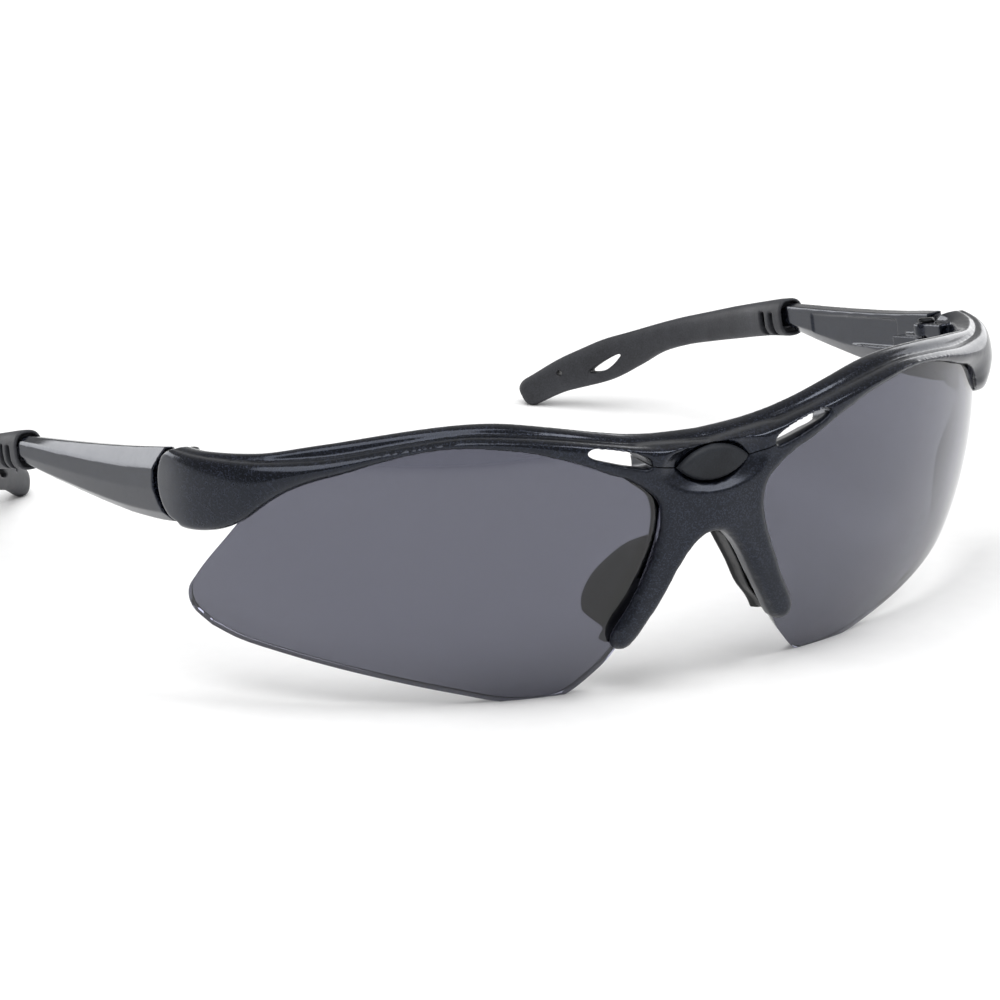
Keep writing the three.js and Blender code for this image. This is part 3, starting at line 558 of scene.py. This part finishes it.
def hingeParts():
    # The frame's lugs, and the room that the temple's lug, the pin and its screw head need
    lug, lugReach = frameShape["lugRadius"], frameShape["lugReach"]
    reach = frameShape["knuckleReach"] + 0.25
    lugs = [cylinderUp(lug, -lugReach, lugReach), block((-1.6, -6.5, -lugReach), (2.4, 0, lugReach))]
    rooms = [cylinderUp(lug + 0.35, -reach, reach), block((-4, 0, -reach), (0.75, 9, reach)),
             cylinderUp(1.75, lugReach, lugReach + 4), cylinderUp(frameShape["pinRadius"] + 0.12, -12, 12)]
    return [acrossHinge(shape) for shape in lugs], [acrossHinge(shape) for shape in rooms]


bridgeShape = {
    "half": [(0, 26), (1.9, 25.5), (3.7, 24), (5.6, 21.4), (7.9, 17.1), (10.5, 12.7), (12.5, 9.5), (13.5, 8.3),
             (14.7, 7.9), (15.9, 8.4), (16.5, 9.8), (16.2, 11.6), (14.2, 15.4), (12.1, 20.5), (10.4, 25.2),
             (9.6, 29.3), (10.2, 32.4), (12.7, 34.7), (15.6, 36.5), (18.3, 38), (21.8, 39.6), (28.5, 41.6),
             (28.5, 43.6), (13, 41.5), (0, 40.6)],
    "depth": through((8, 4.6), (14, 4.6), (24, 5.2), (32, 6), (42, 6.2)),
    "frontRound": 1.7, "backRound": 0.9, "grid": 0.45,
    "slot": [(11.4, 38.2), (11.4, 39.3), (13.1, 40.5), (15.8, 41.4), (19.3, 42.2), (21.3, 42.5), (22.3, 42),
             (21.4, 41.1), (18.3, 39.9), (14.9, 38.8), (12.4, 38.2)],
    "flare": {"wall": 0.7, "far": 12, "deepen": 4.8},
    "seam": [(6.6, 37.3), (11.6, 38.6), (17, 40.2), (22.9, 41.7), (23.6, 40), (24.4, 36), (24.4, 0)],
    "hairline": 0.2, "slotEnd": 22,  # the seam narrows to this share beyond the slots
    "tongue": {"half": 4.6, "near": 2.6, "far": 5.4, "top": 40.6},
}


def distanceTo(points, loop):
    # Distance of front-view points to a closed outline
    best = np.full(len(points), 1e9)
    for a, b in zip(loop, np.roll(loop, -1, axis=0)):
        along = b - a
        t = np.clip((points - a) @ along / (along @ along), 0, 1)
        best = np.minimum(best, np.linalg.norm(points - a - t[:, None] * along, axis=1))
    return best


def pillowPlate(outline, frontFn, backFn, frontRound, backRound, step):
    # A front-view outline filled with triangles, its front and back rounded off along the outline
    loop = np.array(outline, float)
    low, high = loop.min(0), loop.max(0)
    gx, gz = np.meshgrid(np.arange(low[0], high[0], step), np.arange(low[1], high[1], step))
    everyOther = np.arange(gx.size) // gx.shape[1] % 2
    candidates = np.column_stack([gx.ravel() + everyOther * step / 2, gz.ravel()])
    candidates = candidates[distanceTo(candidates, loop) > step * 0.7]
    allPoints = [Vector(p) for p in np.vstack([loop, candidates])]
    edges = [(i, (i + 1) % len(loop)) for i in range(len(loop))]
    verts, _, tris, *_ = geometry.delaunay_2d_cdt(allPoints, edges, [list(range(len(loop)))], 1, 1e-5)
    flat = np.array([tuple(v) for v in verts])
    inset = distanceTo(flat, loop)

    def drop(radius):
        short = np.maximum(radius - inset, 0)
        return radius - np.sqrt(np.maximum(radius**2 - short**2, 0))

    front = np.column_stack([flat[:, 0], frontFn(*flat.T) + drop(frontRound), flat[:, 1]])
    back = np.column_stack([flat[:, 0], backFn(*flat.T) - drop(backRound), flat[:, 1]])
    count = len(flat)
    faces = [tuple(t) for t in tris] + [tuple(i + count for i in reversed(t)) for t in tris]
    runs = {}  # every triangle side in its own direction: one without a partner is on the outline
    for t in tris:
        for a, b in zip(t, [*t[1:], t[0]]):
            runs[(a, b)] = True
    faces += [(b, a, a + count, b + count) for a, b in runs if (b, a) not in runs]
    return np.vstack([front, back]), faces


def mirroredLoop(half):
    # A right-hand outline and its mirror image joined into one closed loop
    return [*half, *[(-x, z) for x, z in reversed(half) if abs(x) > 1e-6]]


def bridgeBody():
    corners = bridgeShape["half"]
    free = curveSamples(corners[:21], 120).tolist()
    outline = mirroredLoop([tuple(p) for p in free] + corners[21:])
    depth = bridgeShape["depth"]
    return pillowPlate(outline, frontAt, lambda x, z: frontAt(x, z) + depth(z), bridgeShape["frontRound"],
                       bridgeShape["backRound"], bridgeShape["grid"])


def underSeam(shift):
    fine, slotEnd = bridgeShape["hairline"], bridgeShape["slotEnd"]
    half = [(x + shift * fine, z) if x > slotEnd else (x, z + shift) for x, z in bridgeShape["seam"]]
    return prismAcross([*half, *[(-x, z) for x, z in reversed(half)]], -12, 14)


capShape = {
    "face": 0.5, "depth": 2.2, "bowAcross": 0.011, "bowUp": 0.035, "frontRound": 0.7, "backRound": 0.2,
    "grid": 0.3, "room": 0.35,
}
bridgeScrew = {
    "headRadius": 1.35, "headHeight": 0.7, "shankRadius": 0.7, "shoulder": 1.0, "length": 5.4, "sides": 40,
    "clear": 0.15,
}


def ovalOutline(grow, count=28):
    # Two arcs that meet at the cap's left and right ends
    halfWidth, halfHeight = (size + grow for size in frameShape["capHalf"])
    radius = (halfWidth**2 + halfHeight**2) / (2 * halfHeight)
    spread = math.asin(halfWidth / radius)
    turns = spread * (1 - 2 * np.arange(count) / count)
    arc = np.column_stack([radius * np.sin(turns), radius * np.cos(turns) - radius + halfHeight])
    outline = np.vstack([arc, -arc])
    return outline + np.array([0, frameShape["seamRise"]])


def capFloor():
    return float(frontAt(0, frameShape["seamRise"])) + capShape["depth"]


def ventSlot():
    # Straight for the thickness of the front wall, then flared towards the wearer
    flare = bridgeShape["flare"]
    corners = np.array(bridgeShape["slot"], float)
    x, z = corners.T
    lowered = np.where((z < 38.9) | ((x > 18) & (z < 41.5)), flare["deepen"], 0)
    wide = np.column_stack([x, z - lowered])
    rings = []
    for points, y in ((corners, -10), (corners, flare["wall"]), (wide, flare["far"])):
        line = curveSamples(points, 66, closed=True)
        rings.append(np.column_stack([line[:, 0], np.full(len(line), y), line[:, 1]]))
    return skin(rings)


def frontDish():
    # The hollow round the cap, cut down from in front of the frame
    halfWidth, halfHeight = frameShape["dishHalf"]
    depth, rise = frameShape["dishDepth"], frameShape["seamRise"]
    x, z = np.meshgrid(np.linspace(-1.2, 1.2, 97) * halfWidth, np.linspace(-1.2, 1.2, 61) * halfHeight + rise,
                       indexing="ij")
    reach = np.hypot(x / halfWidth, (z - rise) / halfHeight)
    floor = frontAt(x, z) + depth - (depth + 0.6) * smoothStep(reach, 0.6, 1.15)
    return plate(np.stack([x, np.full_like(x, -20), z], -1), np.stack([x, floor, z], -1))


def bridgeScrewShape(grow):
    head, shank = bridgeScrew["headRadius"] + grow, bridgeScrew["shankRadius"] + grow * 0.6
    length = bridgeScrew["length"]
    profile = [(0, 0), (head, 0), (head, bridgeScrew["headHeight"]), (shank, bridgeScrew["shoulder"]),
               (shank, length), (0, length)]
    points, faces = turned(profile, bridgeScrew["sides"])
    x, z, y = points.T
    return np.stack([x, y + capFloor() - grow * 0.5, z + frameShape["screwRise"]], -1), faces


padShape = {
    "edge": through((7, 14.4), (9.9, 12.7), (13.6, 9.6), (18, 7.4), (22.4, 5.1), (25, 4)),
    "width": through((8.2, 0.6), (9.2, 1.4), (10.2, 2.5), (11.1, 5), (12.2, 7.6), (14, 9), (16, 9.2), (18, 8.7),
                     (20, 7.6), (22.2, 5.8), (23.6, 3.3), (24.6, 1)),
    "near": through((7, 8.6), (11, 7.6), (15, 7), (25, 7)),
    "low": 8.2, "high": 24.6, "thickness": 1.7, "splay": math.radians(48),
    "flange": {"inset": 2, "low": 8.8, "high": 23.2, "halfThickness": 1.1},
    "blade": {"low": 12.2, "high": 21.8, "halfThickness": 0.4, "root": 1.6, "far": 7.4,
              "clear": 0.2},
    "voxel": 0.16,
}


def legBack(z):
    return frontAt(padShape["edge"](z), z) + bridgeShape["depth"](z)


def legWall(low, high, near, far, halfThickness):
    # An upright wall behind the leg, from y = near(z) to y = far
    z = np.linspace(low, high, 40)
    x = padShape["edge"](z) + padShape["flange"]["inset"] * math.cos(padShape["splay"])
    y = near(z)
    rows = [np.stack([np.stack([x + off, y, z], -1), np.stack([x + off, np.full_like(z, far), z], -1)], 1)
            for off in (halfThickness, -halfThickness)]
    return plate(*rows)


def bladeBody(grow):
    blade = padShape["blade"]
    return legWall(blade["low"] - grow, blade["high"] + grow, lambda z: legBack(z) - blade["root"] - grow,
                   blade["far"] + grow, blade["halfThickness"] + grow)


def makeFront():
    lugs, rooms = hingeParts()
    far = hingePin["y"] + frameShape["endCentre"][0]
    lensRoom = lensBody(100, 40, gap)
    capRoom = prismAcross(ovalOutline(capShape["room"]), -20, capFloor())
    tongue = bridgeShape["tongue"]
    half, near, back, top = (tongue[k] for k in ("half", "near", "far", "top"))
    stem = block((-half, near, 31), (half, back, top))
    stemRoom = block((-half - gap, near - gap, 20), (half + gap, 20, top + gap))
    screwRoom = (bridgeScrewShape(bridgeScrew["clear"]), False)
    cuts = [(ventSlot(), True), (lensRoom, True), *[(room, True) for room in rooms],
            (frontDish(), False), (capRoom, False), screwRoom]

    bar = makePiece("browBarMoulding", *barBody())
    endKeep = makePiece("endKeep", *block((-150, -80, -80), (150, far, 120)))
    combine(endKeep, [(acrossHinge(roundAcross(frameShape["endRadius"])), True)], "UNION")
    modifier = bar.modifiers.new("ends", "BOOLEAN")
    modifier.operation, modifier.solver, modifier.object = "INTERSECT", "MANIFOLD", endKeep
    evaluated(bar)
    bpy.data.objects.remove(endKeep)
    combine(bar, [(lug, True) for lug in lugs], "UNION")
    combine(bar, [(bridgeBody(), False)], "UNION")
    combine(bar, cuts, "DIFFERENCE")

    melt(bar, frameShape["voxel"], frameShape["passes"])
    bridge = bar.copy()
    bridge.data = bar.data.copy()
    bridge.name = "noseBridgeMoulding"
    scene.collection.objects.link(bridge)
    combine(bar, [(underSeam(frameShape["seamGap"] / 2), False), (stemRoom, False)], "DIFFERENCE")
    combine(bridge, [(underSeam(-frameShape["seamGap"] / 2), False)], "INTERSECT")
    combine(bridge, [(stem, False)], "UNION")
    combine(bridge, [screwRoom, (bladeBody(padShape["blade"]["clear"]), True)], "DIFFERENCE")
    smoothShaded(bar, 40)
    smoothShaded(bridge, 40)
    settle(bar, "brow_bar", "front", "frame")
    settle(bridge, "nose_bridge", "front", "bridge")
    print("front", len(bar.data.polygons), len(bridge.data.polygons))


def makeCap():
    # The oval cap: a shallow rubber dome in its pocket
    outline = ovalOutline(0, 60)
    rise = frameShape["seamRise"]
    face = float(frontAt(0, rise)) + capShape["face"]
    back = capFloor() - gap

    def front(x, z):
        return face + capShape["bowAcross"] * x**2 + capShape["bowUp"] * (z - rise) ** 2

    dome = pillowPlate(outline, front, lambda x, z: np.full_like(x, back), capShape["frontRound"],
                       capShape["backRound"], capShape["grid"])
    cap = makePiece("bridgeCapDome", *dome)
    smoothShaded(cap, 50)
    settle(cap, "bridge_cap", "front", "cap")
    screw = makePiece("bridgeScrewBody", *bridgeScrewShape(0))
    rounded(screw, 0.08, 2, 40)
    settle(screw, "bridge_screw", "front", "steel")


hingeScrew = {
    "seat": 0.15, "headRadius": 1.4, "slot": (4, 0.4), "slotFloor": 0.3, "tip": 0.4, "sides": 48,
    "dome": [(1.4, 0.26), (1.32, 0.4), (1.1, 0.53), (0.8, 0.6), (0, 0.6)],
}


def makeHinge(side, mirror):
    reach, pin, tip = frameShape["lugReach"], frameShape["pinRadius"], hingeScrew["tip"]
    seat = reach + hingeScrew["seat"]
    profile = [(0, tip - reach), (pin - 0.1, tip - reach), (pin, tip + 0.1 - reach), (pin, seat),
               (hingeScrew["headRadius"], seat), *[(r, seat + rise) for r, rise in hingeScrew["dome"]]]
    body = turned(profile, hingeScrew["sides"])
    screw = makePiece(side + "HingeScrewBody", *acrossHinge(body), mirror=mirror)
    length, width = hingeScrew["slot"]
    slot = block((-length / 2, -width / 2, seat + hingeScrew["slotFloor"]), (length / 2, width / 2, seat + 2))
    combine(screw, [(mirrorShape(acrossHinge(slot), mirror), False)], "DIFFERENCE")
    smoothShaded(screw, 30)
    settle(screw, side + "_hinge_screw", "front", "steel")


hingeNut = {"cornerRadius": 1.45, "thickness": 1.1, "clear": 0.1, "round": 0.08, "boreSides": 36}


def makeHingeNuts():
    # A bored hexagon under each hinge
    thickness, clear, tilt = hingeNut["thickness"], hingeNut["clear"], hingePin["tilt"]
    drop = clear + thickness / 2 - frameShape["lugReach"]
    x, y, z = hingePin["x"], hingePin["y"] + depthShift, hingePin["z"]
    y, z = y + drop * math.sin(tilt), z + drop * math.cos(tilt)
    nodes = NodeTree("hingeNuts", {
        "Count": 2, "Start": (-x * mm, y * mm, z * mm), "Step": (2 * x * mm, 0.0, 0.0),
        "Corner Radius": hingeNut["cornerRadius"] * mm, "Thickness": thickness * mm,
        "Bore Radius": (frameShape["pinRadius"] + clear) * mm,
    })
    hexagon = nodes.node("GeometryNodeMeshCylinder", {}, {
        "Vertices": 6, "Radius": nodes.size("Corner Radius"), "Depth": nodes.size("Thickness")})
    bore = nodes.node("GeometryNodeMeshCylinder", {}, {
        "Vertices": hingeNut["boreSides"], "Radius": nodes.size("Bore Radius"), "Depth": 4 * thickness * mm})
    nut = nodes.node("GeometryNodeMeshBoolean", {"operation": "DIFFERENCE", "solver": "EXACT"}, {
        "Mesh 1": hexagon, "Mesh 2": bore})
    nuts = nodes.grown("hingeNutPair", repeated(nodes, nut, (-tilt, 0.0, 0.0)), "steel")
    rounded(nuts, hingeNut["round"], 2, 30)
    settle(nuts, ("left_hinge_nut", "right_hinge_nut"), "front", "steel")
    print("hinge nuts", len(nuts.data.polygons))


def mirrorShape(shape, mirror):
    points, faces = shape
    return points * np.array([-1 if mirror else 1, 1, 1]), faces


shellShape = {
    "rear": 49.6, "face": 5.6, "splay": 0.0175, "stations": 140, "around": 110,
    "top": through((-6, 5.4), (4, 5.1), (14, 4.8), (30, 4.7), (49.6, 4.9)),
    "height": through((-6, 12), (4, 11.7), (14, 10.7), (24, 9.2), (34, 7.5), (42, 6.1), (49.6, 4.6)),
    "crease": through((-6, 3.2), (10, 2.9), (30, 2), (49.6, 0.9)),
    "thickness": through((-6, 4.2), (20, 4.1), (49.6, 3.6)),
    "voxel": 0.2,
}
tipShape = {
    "side": through((44, 4.4), (50, 4.4), (58, 4.2), (66, 3.5), (74, 2), (81, -0.7), (87.5, -4.4), (93.5, -9.3),
                    (100, -15.4), (104.5, -19.7)),
    "rise": through((44, 2.6), (50, 2.5), (54, 2.3), (60, 1.8), (72.5, 0.5), (79, -0.3), (84, -1.4), (88, -2.9),
                    (93, -4.8), (98.5, -6.7), (102, -8.6), (104.5, -10)),
    "height": through((44, 6.5), (51, 6.4), (56, 6), (66, 5.6), (72.5, 5.2), (79, 4.9), (84, 5.1), (88, 6.2),
                      (92, 7.2), (96, 6.5), (100, 5.4), (104.5, 4.8)),
    "thickness": through((44, 5.2), (51, 5.2), (56, 4.8), (66, 4.3), (80, 4.1), (92, 3.9), (104.5, 3.4)),
    "start": 49.2, "end": 104.0, "mouth": (2.1, 2.7), "mouthDepth": (46, 50.6), "tailRound": 1.3,
    "slots": (52.4, 2.9, 2), "slotSize": (14, 1.6, -0.4, 3.5), "leafAt": 92.3, "pinAt": 98.4,
    "pinHole": (0.5, 0.6),
    "spigot": (45, 63, 1.15, 1.6), "core": (50, 85, 0.4, 0.9), "voxel": 0.2, "squareness": 0.75,
}


def shellRing(y, count):
    # One section of the hard temple: a narrow top facet over a tall outer face
    top, height, crease, thick = (float(shellShape[k](y)) for k in ("top", "height", "crease", "thickness"))
    face, low = shellShape["face"] + shellShape["splay"] * max(y, 0), top - height
    section = [(face - thick * 0.45, top), (face - 0.25, top - crease + 0.3), (face, top - crease - 0.3),
               (face + 0.1, (top + low) / 2 - 0.5), (face - 0.5, low + height * 0.14), (face - thick * 0.45, low),
               (face - thick + 1.8, low + 0.15), (face - thick, low + height * 0.36),
               (face - thick, top - height * 0.2), (face - thick + 0.2, top - 0.3)]
    corners = np.array(section)
    line = []
    for k, (a, b) in enumerate(zip(corners, np.roll(corners, -1, axis=0))):
        line += [a + (b - a) * t for t in np.linspace(0, 1, count // len(corners), endpoint=False)]
    return np.array([(x, y, z) for x, z in line])


def alongTip(distance):
    return np.array([tipShape["side"](distance), distance, tipShape["rise"](distance)], float)


def tipAxes(distance):
    along = alongTip(distance + 0.5) - alongTip(distance - 0.5)
    along /= np.linalg.norm(along)
    side = np.cross([0, 0, 1], along)
    side /= np.linalg.norm(side)
    return along, side, np.cross(along, side)


def tipRings(stations, half=None, grow=0.0, around=14, taper=None):
    rings = []
    turn = np.linspace(0, 2 * math.pi, around, endpoint=False)
    power = tipShape["squareness"]
    c, n = (np.sign(part) * np.abs(part) ** power for part in (np.cos(turn), np.sin(turn)))
    for k, s in enumerate(stations):
        _, side, up = tipAxes(s)
        width, height = half or (float(tipShape["thickness"](s)) / 2, float(tipShape["height"](s)) / 2)
        share = taper[k] if taper is not None else 1
        across, upward = np.outer(c, side) * (width + grow) * share, np.outer(n, up) * (height + grow) * share
        rings.append(alongTip(s) + across + upward)
    return np.array(rings)


def spigotShape(grow):
    near, far, halfWidth, halfHeight = tipShape["spigot"]
    return skin(tipRings(np.linspace(near, far, 19), (halfWidth, halfHeight), grow, 28))


def coreShape(grow):
    near, far, halfWidth, halfHeight = tipShape["core"]
    return skin(tipRings(np.linspace(near - grow, far + grow, 36), (halfWidth, halfHeight), grow, 24))


def makeTemple(side, mirror):
    lug, knuckle = frameShape["lugRadius"], frameShape["knuckleReach"]
    along = frameShape["endCentre"][0]
    stations = np.linspace(-5, shellShape["rear"] - 1.2, shellShape["stations"])
    rings = [shellRing(y, shellShape["around"]) for y in stations]
    last = shellRing(shellShape["rear"], shellShape["around"])
    middle = last.mean(0)
    for turn in np.linspace(0.15, 1, 7) * math.pi / 2:
        share = 1 - 0.35 * (1 - math.cos(turn))
        ring = middle + (last - middle) * share
        ring[:, 1] = shellShape["rear"] - 1.2 + 1.2 * math.sin(turn)
        rings.append(ring)
    temple = makePiece(side + "TempleShell", *acrossHinge(skin(rings)), mirror=mirror)

    def placed(*shapes):
        return [(mirrorShape(acrossHinge(shape), mirror), False) for shape in shapes]

    ahead = block((-30, -40, -30), (30, along, 30))
    combine(temple, placed(roundAcross(frameShape["endRadius"] + frameShape["endGap"]), ahead,
                           cylinderUp(lug + 0.4, -12, 12)), "DIFFERENCE")
    face = shellShape["face"]
    combine(temple, placed(spigotShape(0), cylinderUp(lug, -knuckle, knuckle),
                           block((-1.2, 0, -knuckle), (0.4, 4.6, knuckle)),
                           block((-1.2, 3.9, -knuckle), (3.6, 9, knuckle))), "UNION")
    panel, panelFaces = block((face - 5, 12, -1.2), (face - 3.5, 40, 3.6))
    panel[:, 0] += shellShape["splay"] * panel[:, 1]
    combine(temple, placed(cylinderUp(frameShape["pinRadius"] + 0.2, -8, 8), (panel, panelFaces),
                           coreShape(gap)), "DIFFERENCE")
    melt(temple, shellShape["voxel"], 3)
    settle(temple, side + "_temple", side + "_arm", "frame")

    core = makePiece(side + "TempleCoreWire", *acrossHinge(coreShape(0)), mirror=mirror)
    smoothShaded(core, 40)
    settle(core, side + "_temple_core", side + "_arm", "steel")


def leafOutline():
    # The leaf-shaped opening: a nearly straight upper edge over a full belly
    def bend(a, b, c):
        t = np.linspace(0, 1, 24, endpoint=False)[:, None]
        return (1 - t) ** 2 * np.array(a) + 2 * t * (1 - t) * np.array(b) + t**2 * np.array(c)
    return np.vstack([bend((-3.9, 0.2), (0, 0.4), (3.7, -0.9)), bend((3.7, -0.9), (0.4, -2.8), (-3.9, 0.2))])


def throughTip(outline, distance):
    # An outline (along, up) cut straight through the tip at a distance behind the pin
    along, side, up = tipAxes(distance)
    centre = alongTip(distance)
    rings = [centre + np.outer(outline[:, 0], along) + np.outer(outline[:, 1], up) + side * reach
             for reach in (-6, 6)]
    return skin(rings)


def gripSlots():
    # The row of slots moulded through each tip's outer side
    first, pitch, count = tipShape["slots"]
    length, width, low, high = tipShape["slotSize"]
    nodes = NodeTree("gripSlots", {
        "Count": count, "Start": (length / 2 - 2, first, (low + high) / 2), "Step": (0.0, pitch, 0.0),
        "Slot": (float(length), width, high - low),
    })
    slot = nodes.node("GeometryNodeMeshCube", {}, {"Size": nodes.size("Slot")})
    row = nodes.grown("gripSlots", repeated(nodes, slot), "tip")
    points = np.array([v.co[:] for v in row.data.vertices])
    faces = [tuple(face.vertices) for face in row.data.polygons]
    bpy.data.objects.remove(row)
    return points, faces


def makeTip(side, mirror):
    start, end, tailRound = (tipShape[k] for k in ("start", "end", "tailRound"))
    ends = np.linspace(0, 1, 8)
    head = start + 0.5 * (1 - np.cos(ends * math.pi / 2))
    tail = end - tailRound + tailRound * np.sin(ends * math.pi / 2)
    middle = np.linspace(start + 0.6, end - tailRound - 0.2, 160)
    headShare = 1 - 0.06 * (1 - np.sin(ends * math.pi / 2))
    tailShare = 0.45 + 0.55 * np.cos(ends * math.pi / 2)
    stations = np.concatenate([head, middle, tail])
    taper = np.concatenate([headShare, np.ones(len(middle)), tailShare])
    body = skin(tipRings(stations, None, 0, 96, taper))
    tip = makePiece(side + "TempleTipRubber", *acrossHinge(body), mirror=mirror)
    radius, rise = tipShape["pinHole"]
    turn = np.linspace(0, 2 * math.pi, 32, endpoint=False)
    pinHole = np.column_stack([radius * np.cos(turn), rise + radius * np.sin(turn)])
    mouth = skin(tipRings(np.linspace(*tipShape["mouthDepth"], 10), tipShape["mouth"], 0, 64))
    cuts = [mouth, spigotShape(gap), coreShape(gap), throughTip(leafOutline(), tipShape["leafAt"]),
            throughTip(pinHole, tipShape["pinAt"])]
    cuts.append(gripSlots())
    combine(tip, [(mirrorShape(acrossHinge(cut), mirror), False) for cut in cuts], "DIFFERENCE")
    combine(tip, [(block((-200, -200, -60), (200, 200, 0)), False)], "DIFFERENCE")
    melt(tip, tipShape["voxel"], 4)
    settle(tip, side + "_temple_tip", side + "_arm", "tip")


def makePad(side, mirror):
    splay, thickness = padShape["splay"], padShape["thickness"]
    along = np.array([math.cos(splay), math.sin(splay), 0])
    toNose = np.array([-math.sin(splay), math.cos(splay), 0])
    columns = 24
    z = np.linspace(padShape["low"], padShape["high"], 60)
    j = np.linspace(0, 1, columns + 1)
    width = padShape["width"](z)[:, None]
    cup = 0.06 * np.sin(math.pi * j)[None] * width
    edge = np.sqrt(np.maximum(1 - np.abs(2 * j - 1) ** 8, 0.12))[None]
    base = np.stack([padShape["edge"](z), padShape["near"](z), z], -1)[:, None]

    def face(offset):
        out = (offset * edge - cup)[..., None] * toNose
        return base + (j[None] * width)[..., None] * along + out

    wing = plate(face(thickness / 2), face(-thickness / 2))
    pad = makePiece(side + "NosePadRubber", *wing, mirror=mirror)
    flange = padShape["flange"]
    wallFar = float(padShape["near"](15)) + flange["inset"] * math.sin(splay)
    wall = legWall(flange["low"], flange["high"], lambda h: legBack(h) + gap, wallFar, flange["halfThickness"])
    combine(pad, [(mirrorShape(wall, mirror), False)], "UNION")
    rooms = [bladeBody(gap), lensBody(100, 40, gap)]
    combine(pad, [(mirrorShape(room, mirror), False) for room in rooms], "DIFFERENCE")
    melt(pad, padShape["voxel"], 4)
    settle(pad, side + "_nose_pad", "front", "pad")
    blade = makePiece(side + "PadBladeBody", *bladeBody(0), mirror=mirror)
    rounded(blade, 0.1, 2, 40)
    settle(blade, side + "_pad_blade", "front", "clip")


makeFront()
makeCap()
makeHingeNuts()
for side, mirror in (("left", False), ("right", True)):
    makeLens(side, mirror)
    makePad(side, mirror)
    makeHinge(side, mirror)
    makeTemple(side, mirror)
    makeTip(side, mirror)
    print(side, "side done")


studio = {
    "camera": (-549.2, -874.6, 375.0), "azimuth": -30.31, "elevation": 18.44, "lens": 251.7,
    "world": 0.45, "floor": 6.0,
}
softBoxes = {  # place and aim in metres, size in metres, power in watts
    "topBox": ((-0.4, -0.3, 1.5), (0, 0, 0.02), (1.4, 1.4), 20),
    "backBox": ((-0.6, 1.35, 0.3), (0, 0, 0.03), (1.0, 0.55), 7),
    "rightBox": ((1.35, 0.5, 0.3), (0, 0, 0.03), (1.5, 0.8), 9),
    "crestBox": ((0.8, -0.7, 1.3), (0, 0, 0.03), (0.5, 0.5), 6),
}


def makeFloor():
    size = studio["floor"]
    mesh = bpy.data.meshes.new("floor")
    corners = [(-size, -size, 0), (size, -size, 0), (size, size, 0), (-size, size, 0)]
    mesh.from_pydata(corners, [], [(0, 1, 2, 3)])
    floor = bpy.data.objects.new("floor", mesh)
    scene.collection.objects.link(floor)
    finish = Finish("paleFloor", Specular_IOR_Level=0.1)
    paper = finish.noise(300, 3)
    finish.set("Base Color", finish.mix(paper, (0.9, 0.9, 0.9), (0.94, 0.94, 0.94)))
    finish.set("Roughness", 0.9)
    mesh.materials.append(finish.material)


def softBox(name, place, aim, size, power):
    light = bpy.data.lights.new(name, "AREA")
    light.shape = "RECTANGLE"
    light.size, light.size_y = size
    light.energy = power
    lamp = bpy.data.objects.new(name, light)
    scene.collection.objects.link(lamp)
    lamp.location = place
    lamp.rotation_mode = "QUATERNION"
    lamp.rotation_quaternion = (Vector(aim) - Vector(place)).to_track_quat("-Z", "Y")


def makeCamera():
    camera = bpy.data.cameras.new("camera")
    camera.lens = studio["lens"]
    camera.sensor_width = 36
    camera.clip_start, camera.clip_end = 0.01, 50
    holder = bpy.data.objects.new("camera", camera)
    scene.collection.objects.link(holder)
    x, y, z = studio["camera"]
    holder.location = (x * mm, (y + depthShift) * mm, z * mm)
    azimuth, elevation = math.radians(studio["azimuth"]), math.radians(studio["elevation"])
    facing = Vector((-math.sin(azimuth) * math.cos(elevation), math.cos(azimuth) * math.cos(elevation),
                     -math.sin(elevation)))
    holder.rotation_mode = "QUATERNION"
    holder.rotation_quaternion = facing.to_track_quat("-Z", "Y")
    scene.camera = holder


def makeWorld():
    world = bpy.data.worlds.new("studio")
    scene.world = world
    world.use_nodes = True
    background = world.node_tree.nodes["Background"]
    background.inputs["Color"].default_value = (1, 1, 1, 1)
    background.inputs["Strength"].default_value = studio["world"]


makeFloor()
makeWorld()
makeCamera()
for name, setting in softBoxes.items():
    softBox(name, *setting)
scene.view_settings.view_transform = "Standard"
print("studio ready")
